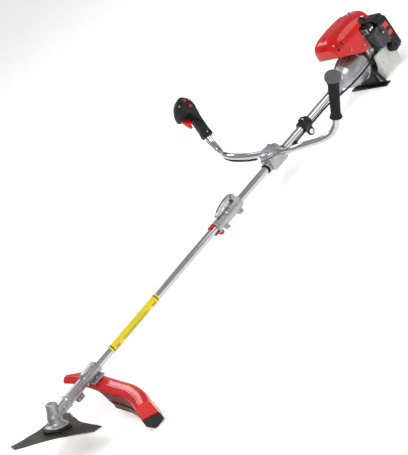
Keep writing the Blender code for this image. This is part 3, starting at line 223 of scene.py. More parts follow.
def finish(name, colour, roughness, metallic=0.0, grain=900.0, grain_depth=0.00004, mottle=0.10,
           mottle_scale=22.0, rough_spread=0.08, stretch=(1.0, 1.0, 1.0), edge=None, coat=0.0, sheer=0.0,
           soft=0.0, gloss=0.5):
    """One procedural finish: mottled colour, handled sheen, surface grain and worn or pale edges."""
    found = bpy.data.materials.get(name)
    if found:
        return found
    made = bpy.data.materials.new(name)
    made.use_nodes = True
    tree = made.node_tree
    shader = tree.nodes["Principled BSDF"]
    place = node_of(tree, "ShaderNodeTexCoord").outputs["Object"]
    cloud = speckle(tree, place, mottle_scale, 4.0, stretch)
    tone = blend_colour(tree, spread(tree, cloud, 0.0, 1.0), scaled(colour, 1.0 - mottle),
                        scaled(colour, 1.0 + mottle))
    fine = speckle(tree, place, grain, 3.0, stretch)
    if edge:
        shape = node_of(tree, "ShaderNodeNewGeometry").outputs["Pointiness"]
        worn = spread(tree, shape, 0.0, 0.8, 0.52, 0.60)
        patchy = node_of(tree, "ShaderNodeMath", operation="MULTIPLY")
        tree.links.new(worn, patchy.inputs[0])
        tree.links.new(spread(tree, speckle(tree, place, 160.0, 5.0), 0.0, 1.0, 0.42, 0.62), patchy.inputs[1])
        tone = blend_colour(tree, patchy.outputs[0], tone, edge)
    tree.links.new(tone, shader.inputs["Base Color"])
    smudge = speckle(tree, place, 55.0, 6.0, stretch)
    tree.links.new(spread(tree, smudge, max(0.03, roughness - rough_spread), roughness + rough_spread),
                   shader.inputs["Roughness"])
    bump = node_of(tree, "ShaderNodeBump")
    bump.inputs["Strength"].default_value = 1.0
    bump.inputs["Distance"].default_value = grain_depth
    tree.links.new(fine, bump.inputs["Height"])
    tree.links.new(bump.outputs["Normal"], shader.inputs["Normal"])
    shader.inputs["Metallic"].default_value = metallic
    shader.inputs["Specular IOR Level"].default_value = gloss
    shader.inputs["Coat Weight"].default_value = coat
    shader.inputs["Coat Roughness"].default_value = 0.06
    shader.inputs["Transmission Weight"].default_value = sheer
    shader.inputs["Subsurface Weight"].default_value = soft
    shader.inputs["Subsurface Scale"].default_value = 0.004
    return made


def red_gloss():
    return finish("red_gloss", tint("red"), 0.18, grain=700.0, grain_depth=0.000008, mottle=0.05, coat=0.35,
                  edge=scaled(tint("red"), 1.2), rough_spread=0.05, gloss=0.3)


# A darker red for the guard's inner wall: painted shade standing in for the shade that wall sits in, not a
# smoked plastic.
def smoked_red():
    return finish("smoked_red", (0.17, 0.022, 0.018), 0.50, grain=700.0, grain_depth=0.000012, mottle=0.20,
                  edge=(0.26, 0.02, 0.02), gloss=0.12)


def black_moulding():
    return finish("black_moulding", tint("black"), 0.42, grain=2600.0, grain_depth=0.00003, mottle=0.25,
                  edge=(0.022, 0.022, 0.023), gloss=0.35)


def soft_rubber():
    return finish("soft_rubber", tint("rubber"), 0.72, grain=1800.0, grain_depth=0.00005, mottle=0.30,
                  edge=(0.035, 0.035, 0.035), gloss=0.25)


# A lighter grey rubber for the left grip's end knob: painted highlight standing in for light on it, not a
# paler compound.
def pale_rubber():
    return finish("pale_rubber", (0.10, 0.10, 0.105), 0.62, grain=1700.0, grain_depth=0.00006, mottle=0.18,
                  edge=(0.16, 0.16, 0.16))


def grey_moulding():
    return finish("grey_moulding", tint("grey"), 0.46, grain=2300.0, grain_depth=0.00005, mottle=0.10,
                  edge=scaled(tint("grey"), 1.5))


def blasted_casting():
    return finish("blasted_casting", tint("casting"), 0.40, 0.92, grain=1500.0, grain_depth=0.00009,
                  mottle=0.12, edge=(0.80, 0.80, 0.81))


def drawn_tube():
    return finish("drawn_tube", tint("tube"), 0.20, 1.0, grain=1400.0, grain_depth=0.000012, mottle=0.05,
                  stretch=(0.03, 1.0, 1.0), rough_spread=0.06)


def plated_bar():
    return finish("plated_bar", tint("chrome"), 0.13, 1.0, grain=260.0, grain_depth=0.00001, mottle=0.04,
                  rough_spread=0.05)


def turned_steel():
    return finish("turned_steel", tint("steel"), 0.30, 1.0, grain=1300.0, grain_depth=0.00003, mottle=0.14,
                  edge=(0.78, 0.78, 0.79))


def bright_steel():
    return finish("bright_steel", (0.72, 0.72, 0.73), 0.22, 1.0, grain=1600.0, grain_depth=0.00002,
                  mottle=0.08)


def blade_coating():
    return finish("blade_coating", tint("blade"), 0.50, 0.1, grain=1100.0, grain_depth=0.00004, mottle=0.25,
                  mottle_scale=40.0, edge=(0.12, 0.12, 0.11), gloss=0.3)


def heat_stained():
    return finish("heat_stained", (0.23, 0.20, 0.18), 0.48, 0.9, grain=900.0, grain_depth=0.00006,
                  mottle=0.35, edge=(0.5, 0.47, 0.44))


def milky_plastic():
    return finish("milky_plastic", tint("tank"), 0.34, grain=1200.0, grain_depth=0.00003, mottle=0.05,
                  soft=0.35, sheer=0.25, edge=(0.93, 0.93, 0.90))


def clear_bulb():
    return finish("clear_bulb", (0.88, 0.86, 0.80), 0.12, grain=500.0, grain_depth=0.00001, sheer=0.6)


def glazed():
    return finish("glazed", (0.86, 0.86, 0.83), 0.16, grain=700.0, grain_depth=0.00001, mottle=0.03, coat=0.5)


def film_of(name, colour):
    return finish(name, colour, 0.30, grain=600.0, grain_depth=0.000008, mottle=0.04, coat=0.3)


# ---------------------------------------------------------------- drawing


def placement(origin, up, side=None):
    """A placement whose local Z runs along up and whose local X leans to side."""
    up = Vector(up).normalized()
    side = Vector(side if side else (X_AXIS if abs(up.x) < 0.9 else -Y_AXIS))
    across = (side - up * side.dot(up)).normalized()
    turn = Matrix((across, up.cross(across), up)).transposed()
    return Matrix.Translation(Vector(origin)) @ turn.to_4x4()


ALONG = placement(ORIGIN, X_AXIS, -Y_AXIS)
ACROSS = placement(ORIGIN, X_AXIS, Y_AXIS)
BLADE_FRAME = placement(ORIGIN, BLADE_AXIS, BLADE_BACK)


def object_from(name, shape, look, placed=None):
    if placed:
        bmesh.ops.transform(shape, matrix=placed, verts=shape.verts)
    bmesh.ops.recalc_face_normals(shape, faces=shape.faces)
    mesh = bpy.data.meshes.new(name)
    shape.to_mesh(mesh)
    shape.free()
    mesh.shade_smooth()
    mesh.set_sharp_from_angle(angle=math.radians(CREASE_ANGLE))
    mesh.materials.append(look)
    made = bpy.data.objects.new(name, mesh)
    bpy.context.scene.collection.objects.link(made)
    return made


def skin(rings, looped=False, shape=None):
    """A closed skin over rings with equal point counts; a ring of one point is a pole."""
    shape = shape or bmesh.new()
    rows = [[shape.verts.new(point) for point in ring] for ring in rings]
    pairs = list(zip(rows, rows[1:] + rows[:1])) if looped else list(zip(rows, rows[1:]))
    for low, high in pairs:
        count = max(len(low), len(high))
        for i in range(count):
            j = (i + 1) % count
            corners = [low[i % len(low)], low[j % len(low)], high[j % len(high)], high[i % len(high)]]
            shape.faces.new(list(dict.fromkeys(corners)))
    if not looped:
        for end in (rows[0], rows[-1]):
            if len(end) > 2:
                shape.faces.new(end)
    return shape


def soften(points, radius, closed=False, steps=3):
    """Rounds the corners of an outline or a profile with short arcs."""
    count = len(points)
    rounded = []
    for i in range(count):
        here = Vector(points[i])
        if radius == 0.0 or (not closed and i in (0, count - 1)):
            rounded.append(tuple(here))
            continue
        back = Vector(points[i - 1]) - here
        on = Vector(points[(i + 1) % count]) - here
        reach = min(radius, 0.45 * back.length, 0.45 * on.length)
        start = here + back.normalized() * reach
        end = here + on.normalized() * reach
        for k in range(steps + 1):
            t = k / steps
            rounded.append(tuple(start * (1 - t) ** 2 + here * 2 * t * (1 - t) + end * t * t))
    return rounded


def circle(radius, height, count=48, sides=0):
    """A ring in the local XY plane: round, or with flats when sides is given."""
    points = []
    for i in range(count):
        a = math.tau * i / count
        reach = radius
        if sides:
            step = math.tau / sides
            reach = radius * math.cos(step / 2) / math.cos((a % step) - step / 2)
        points.append(Vector((reach * math.cos(a), reach * math.sin(a), height)))
    return points


def turned(name, look, profile, placed, segments=56, hollow=False, rounding=0.0006):
    """Turns (height, radius) points about the placement's Z; hollow joins the last point to the first."""
    rings = []
    for height, radius in soften(profile, rounding, hollow):
        rings.append([Vector((0.0, 0.0, height))] if radius < 1e-7 else circle(radius, height, segments))
    return object_from(name, skin(rings, looped=hollow), look, placed)


def rod(name, look, start, end, radius, segments=40, rounding=0.0):
    start, end = Vector(start), Vector(end)
    length = (end - start).length
    profile = [(0.0, 0.0), (0.0, radius), (length, radius), (length, 0.0)]
    return turned(name, look, profile, placement(start, end - start), segments, rounding=rounding)


def slab(name, look, outline, placed, low, high, bevel=0.0008, rounding=0.0):
    """An outline in the placement's XY plane, filled from low to high along its Z."""
    outline = soften(outline, rounding, True) if rounding else outline
    shape = skin([[Vector((x, y, height)) for x, y in outline] for height in (low, high)])
    if bevel:
        rims = [e for e in shape.edges if abs(e.verts[0].co.z - e.verts[1].co.z) < 1e-7]
        bmesh.ops.bevel(shape, geom=rims, offset=bevel, segments=3, profile=0.5, affect="EDGES")
    return object_from(name, shape, look, placed)


def block(name, look, low, high, bevel=0.0015, segments=3, placed=None):
    low, high = Vector(low), Vector(high)
    shape = bmesh.new()
    bmesh.ops.create_cube(shape, size=1.0)
    bmesh.ops.scale(shape, vec=high - low, verts=shape.verts)
    bmesh.ops.translate(shape, vec=(low + high) / 2.0, verts=shape.verts)
    if bevel:
        bmesh.ops.bevel(shape, geom=shape.edges[:], offset=bevel, segments=segments, profile=0.5,
                        affect="EDGES")
    return object_from(name, shape, look, placed)


def smooth_route(points, steps):
    """A Catmull-Rom curve through the points, with steps stretches between neighbours."""
    points = [Vector(p) for p in points]
    padded = [2 * points[0] - points[1], *points, 2 * points[-1] - points[-2]]
    route = []
    for a, b, c, d in zip(padded, padded[1:], padded[2:], padded[3:]):
        for i in range(steps):
            t = i / steps
            bend = 2 * b + (c - a) * t + (2 * a - 5 * b + 4 * c - d) * t * t
            route.append((bend + (3 * b - a - 3 * c + d) * t * t * t) / 2.0)
    return [*route, points[-1]]


def tube_rings(route, radius, segments):
    """Rings about a route; radius is a number or a function of the share travelled."""
    rings = []
    across = Z_AXIS
    for i, point in enumerate(route):
        ahead = (route[min(i + 1, len(route) - 1)] - route[max(i - 1, 0)]).normalized()
        across = (across - ahead * across.dot(ahead)).normalized()
        beside = ahead.cross(across)
        reach = radius(i / (len(route) - 1)) if callable(radius) else radius
        turns = [math.tau * k / segments for k in range(segments)]
        rings.append([point + reach * (across * math.cos(a) + beside * math.sin(a)) for a in turns])
    return rings


def pipe(name, look, route, radius, wall=0.0, segments=28):
    rings = tube_rings(route, radius, segments)
    if wall:
        rings += tube_rings(route, radius - wall, segments)[::-1]
    return object_from(name, skin(rings, looped=bool(wall)), look)


def combine(target, tool, operation, solver="EXACT"):
    """Applies one Boolean to target and removes the tool, keeping the tool's finish on the new faces."""
    change = target.modifiers.new(operation.lower(), "BOOLEAN")
    change.operation = operation
    change.solver = solver
    change.object = tool
    if solver == "EXACT":
        change.material_mode = "TRANSFER"
    bpy.context.view_layer.update()
    graph = bpy.context.evaluated_depsgraph_get()
    mesh = bpy.data.meshes.new_from_object(target.evaluated_get(graph))
    target.modifiers.clear()
    target.data = mesh
    bpy.data.objects.remove(tool)
    mesh.shade_smooth()
    mesh.set_sharp_from_angle(angle=math.radians(CREASE_ANGLE))
    return target


def cut(target, tool, solver="EXACT"):
    return combine(target, tool, "DIFFERENCE", solver)


def join(target, tool, solver="EXACT"):
    return combine(target, tool, "UNION", solver)


def gather(name, pieces):
    """Makes several separate bodies into one object, each keeping its finish."""
    shape = bmesh.new()
    looks = []
    for piece in pieces:
        numbers = {}
        for i, look in enumerate(piece.data.materials):
            if look not in looks:
                looks.append(look)
            numbers[i] = looks.index(look)
        before = len(shape.faces)
        shape.from_mesh(piece.data)
        shape.faces.ensure_lookup_table()
        for face in shape.faces[before:]:
            face.material_index = numbers.get(face.material_index, 0)
    mesh = bpy.data.meshes.new(name)
    shape.to_mesh(mesh)
    shape.free()
    for look in looks:
        mesh.materials.append(look)
    for piece in pieces:
        bpy.data.objects.remove(piece)
    made = bpy.data.objects.new(name, mesh)
    bpy.context.scene.collection.objects.link(made)
    return made


def settle(piece, body, slot, *nodes):
    """Carries a finished piece from the shaft frame into the row frame and hangs it on its body."""
    piece.data.transform(SHAFT)
    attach(piece, body)
    if nodes:
        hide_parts(*nodes)
    return piece


def settle_clocked(piece, body, slot, *nodes):
    piece.data.transform(CLOCKED)
    return settle(piece, body, slot, *nodes)


def socket_screw(at, axis, radius, look=None, height=None):
    """A cap screw with a hexagon socket, standing on the point it is given."""
    height = height or 1.25 * radius
    lip = 0.14 * radius
    rings = [
        circle(radius, -0.0008, 36), circle(radius, height - lip, 36), circle(radius - lip, height, 36),
        circle(0.62 * radius, height, 36, 6), circle(0.58 * radius, 0.45 * height, 36, 6),
        [Vector((0.0, 0.0, 0.45 * height))],
    ]
    return object_from("screw", skin(rings), look or turned_steel(), placement(at, axis))


def hex_bolt(at, axis, radius, look=None):
    """A flanged hexagon bolt head."""
    rings = [
        circle(1.35 * radius, -0.0008, 36), circle(1.35 * radius, 0.18 * radius, 36),
        circle(radius, 0.30 * radius, 36, 6), circle(radius, 0.95 * radius, 36, 6),
        circle(0.80 * radius, 1.10 * radius, 36), [Vector((0.0, 0.0, 1.12 * radius))],
    ]
    return object_from("bolt", skin(rings), look or turned_steel(), placement(at, axis))


def arc_points(count, radius, start, end):
    turns = [math.radians(start + (end - start) * i / (count - 1)) for i in range(count)]
    return [(radius * math.cos(a), radius * math.sin(a)) for a in turns]


# ---------------------------------------------------------------- gear head and blade


def build_gear_head():
    cast = blasted_casting()
    profile = [
        (-0.0300, 0.0), (-0.0300, 0.0350), (-0.0292, 0.0358), (-0.0262, 0.0352), (-0.0235, 0.0300),
        (-0.0205, 0.0245), (-0.0160, 0.0225), (-0.0040, 0.0223), (-0.0030, 0.0230), (-0.0005, 0.0230),
        (0.0020, 0.0220), (0.0100, 0.0190), (0.0340, 0.0173), (0.0345, 0.0178), (0.0385, 0.0176),
        (0.0405, 0.0158), (0.0410, 0.0140), (0.0410, 0.0118), (0.0400, 0.0112), (0.0400, 0.0),
    ]
    case = turned("gear_case_casting", cast, profile, BLADE_FRAME, 72)
    neck = [(0.0, 0.0), (0.0, 0.0192), (0.0560, 0.0196), (0.0585, 0.0206), (0.0625, 0.0206), (0.0640, 0.0176),
            (0.0660, 0.0172), (0.1300, 0.0168), (0.1370, 0.0158), (0.1370, 0.0)]
    join(case, turned("neck", cast, neck, ALONG, 64, rounding=0.0012))
    join(case, block("lug", cast, (0.086, -0.0085, -0.0330), (0.114, 0.0085, -0.0125), 0.0035, 4))
    for side in (-1, 1):
        join(case, slab("web", cast, [(0.010, -0.010), (0.054, -0.018), (0.054, 0.006), (0.018, 0.0210)],
                        placement((0, side * 0.0015, 0), -Y_AXIS, X_AXIS), -0.0022, 0.0022, 0.0006))
    cut(case, rod("gear_room", cast, BLADE_AXIS * -0.040, BLADE_AXIS * 0.0025, HEAD_ROOM, 48))
    cut(case, rod("pinion_room", cast, (-0.002, 0, 0), (0.030, 0, 0), 0.0142, 48))
    cut(case, rod("tube_bore", cast, (0.010, 0, 0), (0.160, 0, 0), TUBE_RADIUS + FIT, 56))
    cut(case, block("clamp_slot", cast, (0.082, -0.0008, -0.040), (0.150, 0.0008, -0.010), 0.0))
    settle_clocked(case, "lower_unit", "cast_aluminium", "gear_case")

    screws = [hex_bolt((0.094, -0.0083, -0.0255), -Y_AXIS, 0.0042),
              hex_bolt((0.107, -0.0083, -0.0230), -Y_AXIS, 0.0032)]
    for i in range(4):
        a = math.radians(45 + 90 * i)
        spot = BLADE_FRAME @ Vector((0.0305 * math.cos(a), 0.0305 * math.sin(a), -0.0246))
        screws.append(socket_screw(spot, BLADE_AXIS, 0.0030))
    screws.append(hex_bolt(Vector((0.034, -0.0192, 0.004)), -Y_AXIS, 0.0050))
    screws.append(socket_screw(BLADE_AXIS * 0.0402, BLADE_AXIS, 0.0062, height=0.0030))
    settle_clocked(gather("gear_case_screws", screws), "lower_unit", "steel")

    ring = HEAD_ROOM - FIT
    seal = [(-0.0285, ARBOR_BORE), (-0.0285, ring), (-0.0278, ring), (-0.0185, ring), (-0.0185, ARBOR_BORE)]
    settle_clocked(turned("head_bearing_race", bright_steel(), seal, BLADE_FRAME, 56, True), "lower_unit",
                   "steel",
           "gear_head_bearing")


BLADE_TURN = -69.9
BLADE_TOP = -0.0422
BLADE_BOTTOM = -0.0438
LEADING_EDGE = [(0.0850, -36.0), (0.1020, -23.5), (0.1250, -15.0), (0.1480, -9.5), (0.1500, 7.0)]
TRAILING_EDGE = [(0.1260, 13.5), (0.1020, 21.5), (0.0850, 33.0), (0.0740, 48.0)]


def polar(radius, turn):
    return (radius * math.cos(math.radians(turn)), radius * math.sin(math.radians(turn)))


def blade_outline():
    """Three teeth: each is a broad tapered arm with a ground leading edge and an oblique end."""
    tooth = [(0.0740, -50.0), *LEADING_EDGE, *TRAILING_EDGE]
    return [polar(radius, BLADE_TURN + 120.0 * i + turn) for i in range(3) for radius, turn in tooth]


def build_blade():
    coat, bright = blade_coating(), bright_steel()
    outline = soften(blade_outline(), 0.004, True, 4)
    blade = slab("three_tooth_blade", coat, outline, BLADE_FRAME, BLADE_BOTTOM, BLADE_TOP, 0.0)
    cut(blade, rod("bore", coat, BLADE_AXIS * -0.060, BLADE_AXIS * -0.030, BLADE_BORE, 48))
    width = sizes().ground_edge
    for i in range(3):
        spin = Matrix.Rotation(math.radians(BLADE_TURN + 120.0 * i), 4, "Z")
        edge = soften([polar(radius, turn) for radius, turn in LEADING_EDGE], 0.004, False, 4)
        rings = []
        for k, (x, y) in enumerate(edge):
            after = Vector(edge[min(k + 1, len(edge) - 1)])
            before = Vector(edge[max(k - 1, 0)])
            run = (after - before).normalized()
            inward = Vector((-run.y, run.x))
            taper = min(1.0, 4.0 * k / (len(edge) - 1), 6.0 * (len(edge) - 1 - k) / (len(edge) - 1) + 0.3)
            inner = Vector((x, y)) + inward * width * max(taper, 0.05)
            outer = Vector((x, y)) - inward * 0.002
            rings.append([
                Vector((*inner, BLADE_TOP + 0.00001)), Vector((*inner, BLADE_TOP + 0.003)),
                Vector((*outer, BLADE_TOP + 0.003)), Vector((*outer, BLADE_BOTTOM + 0.0003)),
            ])
        cut(blade, object_from("grind", skin(rings), bright, BLADE_FRAME @ spin))
    for i in range(3):
        a = math.radians(BLADE_TURN + 60 + 120.0 * i)
        spot = BLADE_FRAME @ Vector((0.0330 * math.cos(a), 0.0330 * math.sin(a), 0.0))
        cut(blade, rod("vent", coat, spot - BLADE_AXIS * 0.060, spot - BLADE_AXIS * 0.030, 0.0028, 24))
    settle_clocked(blade, "blade_rotor", "blade_paint", "cutting_blade")

    top, bottom = BLADE_TOP, BLADE_BOTTOM
    wrap = [(-0.0303, 0.0200), (-0.0303, 0.0400), (-0.0315, 0.0425), (-0.0400, 0.0432), (-0.0400, 0.0412),
            (-0.0335, 0.0395), (-0.0325, 0.0200)]
    settle_clocked(turned("wrap_cup", black_moulding(), wrap, BLADE_FRAME, 80, True), "lower_unit",
                   "black_plastic", "wrap_guard")
    flange = [(-0.0290, ARBOR_BORE), (-0.0290, 0.0100), (-0.0385, 0.0110), (-0.0403, 0.0380),
              (-0.0410, 0.0400), (top + FIT, 0.0405), (top + FIT, 0.0123), (bottom + FIT, 0.0121),
              (bottom + FIT, ARBOR_BORE)]
    settle_clocked(turned("upper_flange", bright, flange, BLADE_FRAME, 80, True), "blade_rotor", "steel",
                   "blade_flange")
    cup = [(bottom - FIT, ARBOR_BORE), (bottom - FIT, 0.0330), (bottom - 0.0022, 0.0335),
           (bottom - 0.0040, 0.0320), (bottom - 0.0080, 0.0210), (bottom - 0.0085, 0.0190),
           (bottom - 0.0085, ARBOR_BORE)]
    settle_clocked(turned("lower_cup", bright, cup, BLADE_FRAME, 72, True, 0.0012), "blade_rotor", "steel",
                   "blade_cup")
    low, high = bottom - 0.0185, bottom - 0.0088
    rings = [circle(0.0100, high, 48), circle(0.0105, high - 0.0010, 48, 6),
             circle(0.0105, low + 0.0010, 48, 6), circle(0.0094, low, 48), circle(0.0068, low, 48),
             circle(ARBOR_BORE, low + 0.0006, 48), circle(ARBOR_BORE, high, 48)]
    nut = object_from("left_hand_nut", skin(rings, True), turned_steel(), BLADE_FRAME)
    settle_clocked(nut, "blade_rotor", "steel", "blade_nut")
    thread = [(-0.0660, 0.0), (-0.0660, 0.0050), (-0.0650, ARBOR_RADIUS)]
    pitch = 0.00125
    for i in range(8):
        thread += [(-0.0648 + pitch * i, ARBOR_RADIUS), (-0.0648 + pitch * (i + 0.5), 0.0054)]
    thread += [(-0.0545, ARBOR_RADIUS), (0.0010, ARBOR_RADIUS), (0.0010, 0.0)]
    settle_clocked(turned("arbor", bright, thread, BLADE_FRAME, 48, rounding=0.0001), "blade_rotor",
                   "steel", "output_shaft")


# ---------------------------------------------------------------- guard

# Outer corner x and y, deck width, deck height, foot of the outer wall, foot of the inner wall
GUARD_STATIONS = [
    (0.186, 0.160, 0.040, -0.0270, -0.046, -0.0360),
    (0.203, 0.095, 0.052, -0.0245, -0.056, -0.0360),
    (0.205, 0.030, 0.057, -0.0245, -0.072, -0.0370),
    (0.199, -0.045, 0.058, -0.0260, -0.088, -0.0400),
    (0.1965, -0.075, 0.058, -0.0265, -0.094, -0.0820),
    (0.193, -0.115, 0.057, -0.0270, -0.100, -0.0880),
    (0.187, -0.180, 0.056, -0.0280, -0.105, -0.0900),
    (0.170, -0.240, 0.054, -0.0310, -0.108, -0.0930),
    (0.142, -0.288, 0.050, -0.0360, -0.110, -0.0960),
]
GUARD_TIP = -0.1240
GUARD_STEPS = 9
SKIRT_FROM = 39
WALL_STRIPS = 4
GUARD_BOLT = (0.172, 0.022)


def guard_stations(steps):
    plan = smooth_route([(x, y, 0.0) for x, y, *_ in GUARD_STATIONS], steps)
    first = smooth_route([(w, d, 0.0) for _, _, w, d, _, _ in GUARD_STATIONS], steps)
    second = smooth_route([(o, i, 0.0) for _, _, _, _, o, i in GUARD_STATIONS], steps)
    stations = []
    for i, point in enumerate(plan):
        ahead = (plan[min(i + 1, len(plan) - 1)] - plan[max(i - 1, 0)]).normalized()
        inward = Vector((ahead.y, -ahead.x, 0.0))
        stations.append((point, inward, first[i].x, first[i].y, second[i].x, second[i].y))
    return stations


def end_placement(point, inward, gap):
    """Stands gap ahead of the guard's near end: local X points inward; the sign tells whether Y points up."""
    ahead = inward.cross(Z_AXIS) * -1.0
    heel = placement(point + ahead * gap, ahead, inward)
    return heel, 1.0 if heel.to_3x3().col[1].z > 0 else -1.0


def build_guard():
    t = GUARD_WALL
    rings = []
    for point, inward, width, deck, outer, inner in guard_stations(GUARD_STEPS):
        section = [
            (width, inner), (width, deck - 0.0065), (0.90 * width, deck + 0.0002),
            (0.72 * width, deck + 0.0022),
            (0.70 * width, deck + 0.0050), (0.62 * width, deck + 0.0054), (0.60 * width, deck + 0.0030),
            (0.36 * width, deck + 0.0034), (0.016, deck + 0.0026), (0.005, deck - 0.0035),
            (0.001, deck - 0.0130),
            (-0.0006, outer + 0.006), (-0.0016, outer + 0.003), (-0.0010, outer), (t, outer),
            (0.003 + t, deck - 0.0075), (0.016, deck + 0.002 - t), (0.50 * width, deck + 0.0026 - t),
            (0.92 * width - t, deck - 0.0012 - t), (width - t, deck - 0.0065 - t), (width - t, inner),
        ]
        rings.append([point + inward * x + Z_AXIS * z for x, z in soften(section, 0.0030, True, 2)])
    body = object_from("guard_shell", skin(rings), red_gloss())
    count = len(rings[0])
    # The inner wall's strips take the darker red, which is painted shade.
    body.data.materials.append(smoked_red())
    for face in body.data.polygons:
        if face.index < count * (len(rings) - 1) and face.index % count < WALL_STRIPS:
            face.material_index = 1
    for side in (-1, 1):
        x, y = GUARD_BOLT
        cut(body, rod("hole", red_gloss(), (x, side * y, -0.06), (x, side * y, 0.0), 0.0030, 24))
    point, inward, width, deck, outer, inner = guard_stations(GUARD_STEPS)[-1]
    heel, lift = end_placement(point, inward, 0.0)
    closed = [(0.0006, outer + 0.001), (0.0010, deck - 0.0130), (0.0060, deck - 0.0030),
              (0.016, deck + 0.0018), (0.90 * width, deck - 0.0004), (width - 0.0008, deck - 0.0068),
              (width - 0.0008, inner + 0.001)]
    wall = slab("end_wall", red_gloss(), [(x, y * lift) for x, y in closed], heel, -t, -0.0002, 0.0004)
    settle_clocked(gather("guard_shell", [body, wall]), "lower_unit", "red_plastic", "guard")

    t = SKIRT_WALL
    stations = guard_stations(GUARD_STEPS)[SKIRT_FROM:]
    rings = []
    for point, inward, width, deck, outer, inner in stations:
        near = point + inward * (width + SKIRT_GAP)
        section = [(0.0, inner + 0.016), (t, inner + 0.016), (t, inner - 0.0030),
                   (t + 0.0010, inner - 0.0038), (t + 0.0010, inner - 0.0072), (t, inner - 0.0080),
                   (0.0, inner - 0.0080)]
        rings.append([near + inward * x + Z_AXIS * z for x, z in soften(section, 0.0006, True, 2)])
    skirt = object_from("skirt_strip", skin(rings), black_moulding())
    point, inward, width, deck, outer, inner = stations[-1]
    heel, lift = end_placement(point, inward, SKIRT_GAP)
    across = width + SKIRT_GAP + t
    outline = [(-0.002, outer + 0.022), (-0.002, outer - 0.004), (0.55 * across, GUARD_TIP),
               (0.66 * across, GUARD_TIP), (across, inner - 0.008), (across, inner + 0.016)]
    end = slab("skirt_end", black_moulding(), [(x, y * lift) for x, y in outline], heel, 0.0, t, 0.0006,
               0.003)
    settle_clocked(gather("guard_skirt_strip", [skirt, end]), "lower_unit", "black_plastic", "guard_skirt")

    cast = blasted_casting()
    saddle = [(0.1400, 0.0), (0.1400, 0.0172), (0.1430, 0.0185), (0.2030, 0.0185), (0.2060, 0.0172),
              (0.2060, 0.0)]
    bracket = turned("guard_saddle", cast, saddle, ALONG, 64)
    join(bracket, block("plate", cast, (0.1500, -0.034, -0.0190), (0.1960, 0.034, -0.0140), 0.0014))
    join(bracket, block("ear", cast, (0.1440, -0.0075, 0.0120), (0.2020, 0.0075, 0.0240), 0.0028))
    cut(bracket, rod("tube_bore", cast, (0.10, 0, 0), (0.25, 0, 0), TUBE_RADIUS + FIT, 56))
    cut(bracket, block("split", cast, (0.13, -0.0008, 0.010), (0.22, 0.0008, 0.030), 0.0))
    settle_clocked(bracket, "lower_unit", "cast_aluminium", "guard_bracket")
    screws = [socket_screw((0.157, -0.0073, 0.0190), -Y_AXIS, 0.0036),
              socket_screw((0.189, -0.0073, 0.0190), -Y_AXIS, 0.0036)]
    settle_clocked(gather("saddle_screws", screws), "lower_unit", "steel")
    for side, name in ((-1, "left"), (1, "right")):
        x, y = GUARD_BOLT
        parts = [hex_bolt((x, side * y, -0.0132), Z_AXIS, 0.0046),
                 rod("shank", turned_steel(), (x, side * y, -0.0352), (x, side * y, -0.0130), 0.0026),
                 hex_bolt((x, side * y, -0.0318), -Z_AXIS, 0.0042)]
        settle_clocked(gather("guard_screw_" + name, parts), "lower_unit", "steel", "guard_bolt_" + name)


# ---------------------------------------------------------------- shaft


def wrapped_film(name, look, start, end, low_turn, high_turn, lift):
    """A thin film bent round the shaft between two turns about it; 0 degrees faces the operator's left."""
    thick = sizes().film_thickness
    inner = TUBE_RADIUS + 0.00002 + lift * thick
    count = max(8, int(abs(high_turn - low_turn) / 6))
    outside = arc_points(count, inner + thick, low_turn, high_turn)
    outline = outside + arc_points(count, inner, low_turn, high_turn)[::-1]
    return slab(name, look, outline, ALONG, start, end, 0.0)


def build_shaft():
    for name, node, body in (("lower_shaft_tube", "lower_tube", "lower_unit"),
                             ("upper_shaft_tube", "upper_tube", "upper_unit")):
        low, high = span(node)
        inner = TUBE_RADIUS - TUBE_WALL
        profile = [(low.x, inner), (low.x, TUBE_RADIUS), (high.x, TUBE_RADIUS), (high.x, inner)]
        settle(turned(name, drawn_tube(), profile, ALONG, 64, True, 0.0003), body, "polished_tube", node)

    yellow, orange, dark = (film_of("yellow_film", tint("film")), film_of("orange_film", tint("film_accent")),
                            film_of("dark_film", (0.02, 0.02, 0.02)))
    start, end = 0.268, 0.500
    films = [wrapped_film("band", yellow, start, end, -150.0, 150.0, 0)]
    films.append(wrapped_film("bar", dark, start + 0.006, start + 0.010, -120.0, 120.0, 1))
    films.append(wrapped_film("bar", orange, start + 0.018, start + 0.036, -8.0, 42.0, 1))
    for i in range(4):
        films.append(wrapped_film("line", dark, start + 0.050 + 0.004 * i, end - 0.060 + 0.010 * (i % 2),
                                  -8.0 + 14.0 * i, -4.0 + 14.0 * i, 1))
    films.append(wrapped_film("bar", orange, end - 0.036, end - 0.018, -8.0, 42.0, 1))
    films.append(wrapped_film("bar", dark, end - 0.010, end - 0.006, -120.0, 120.0, 1))
    settle(gather("shaft_band", films), "lower_unit", "red_plastic")


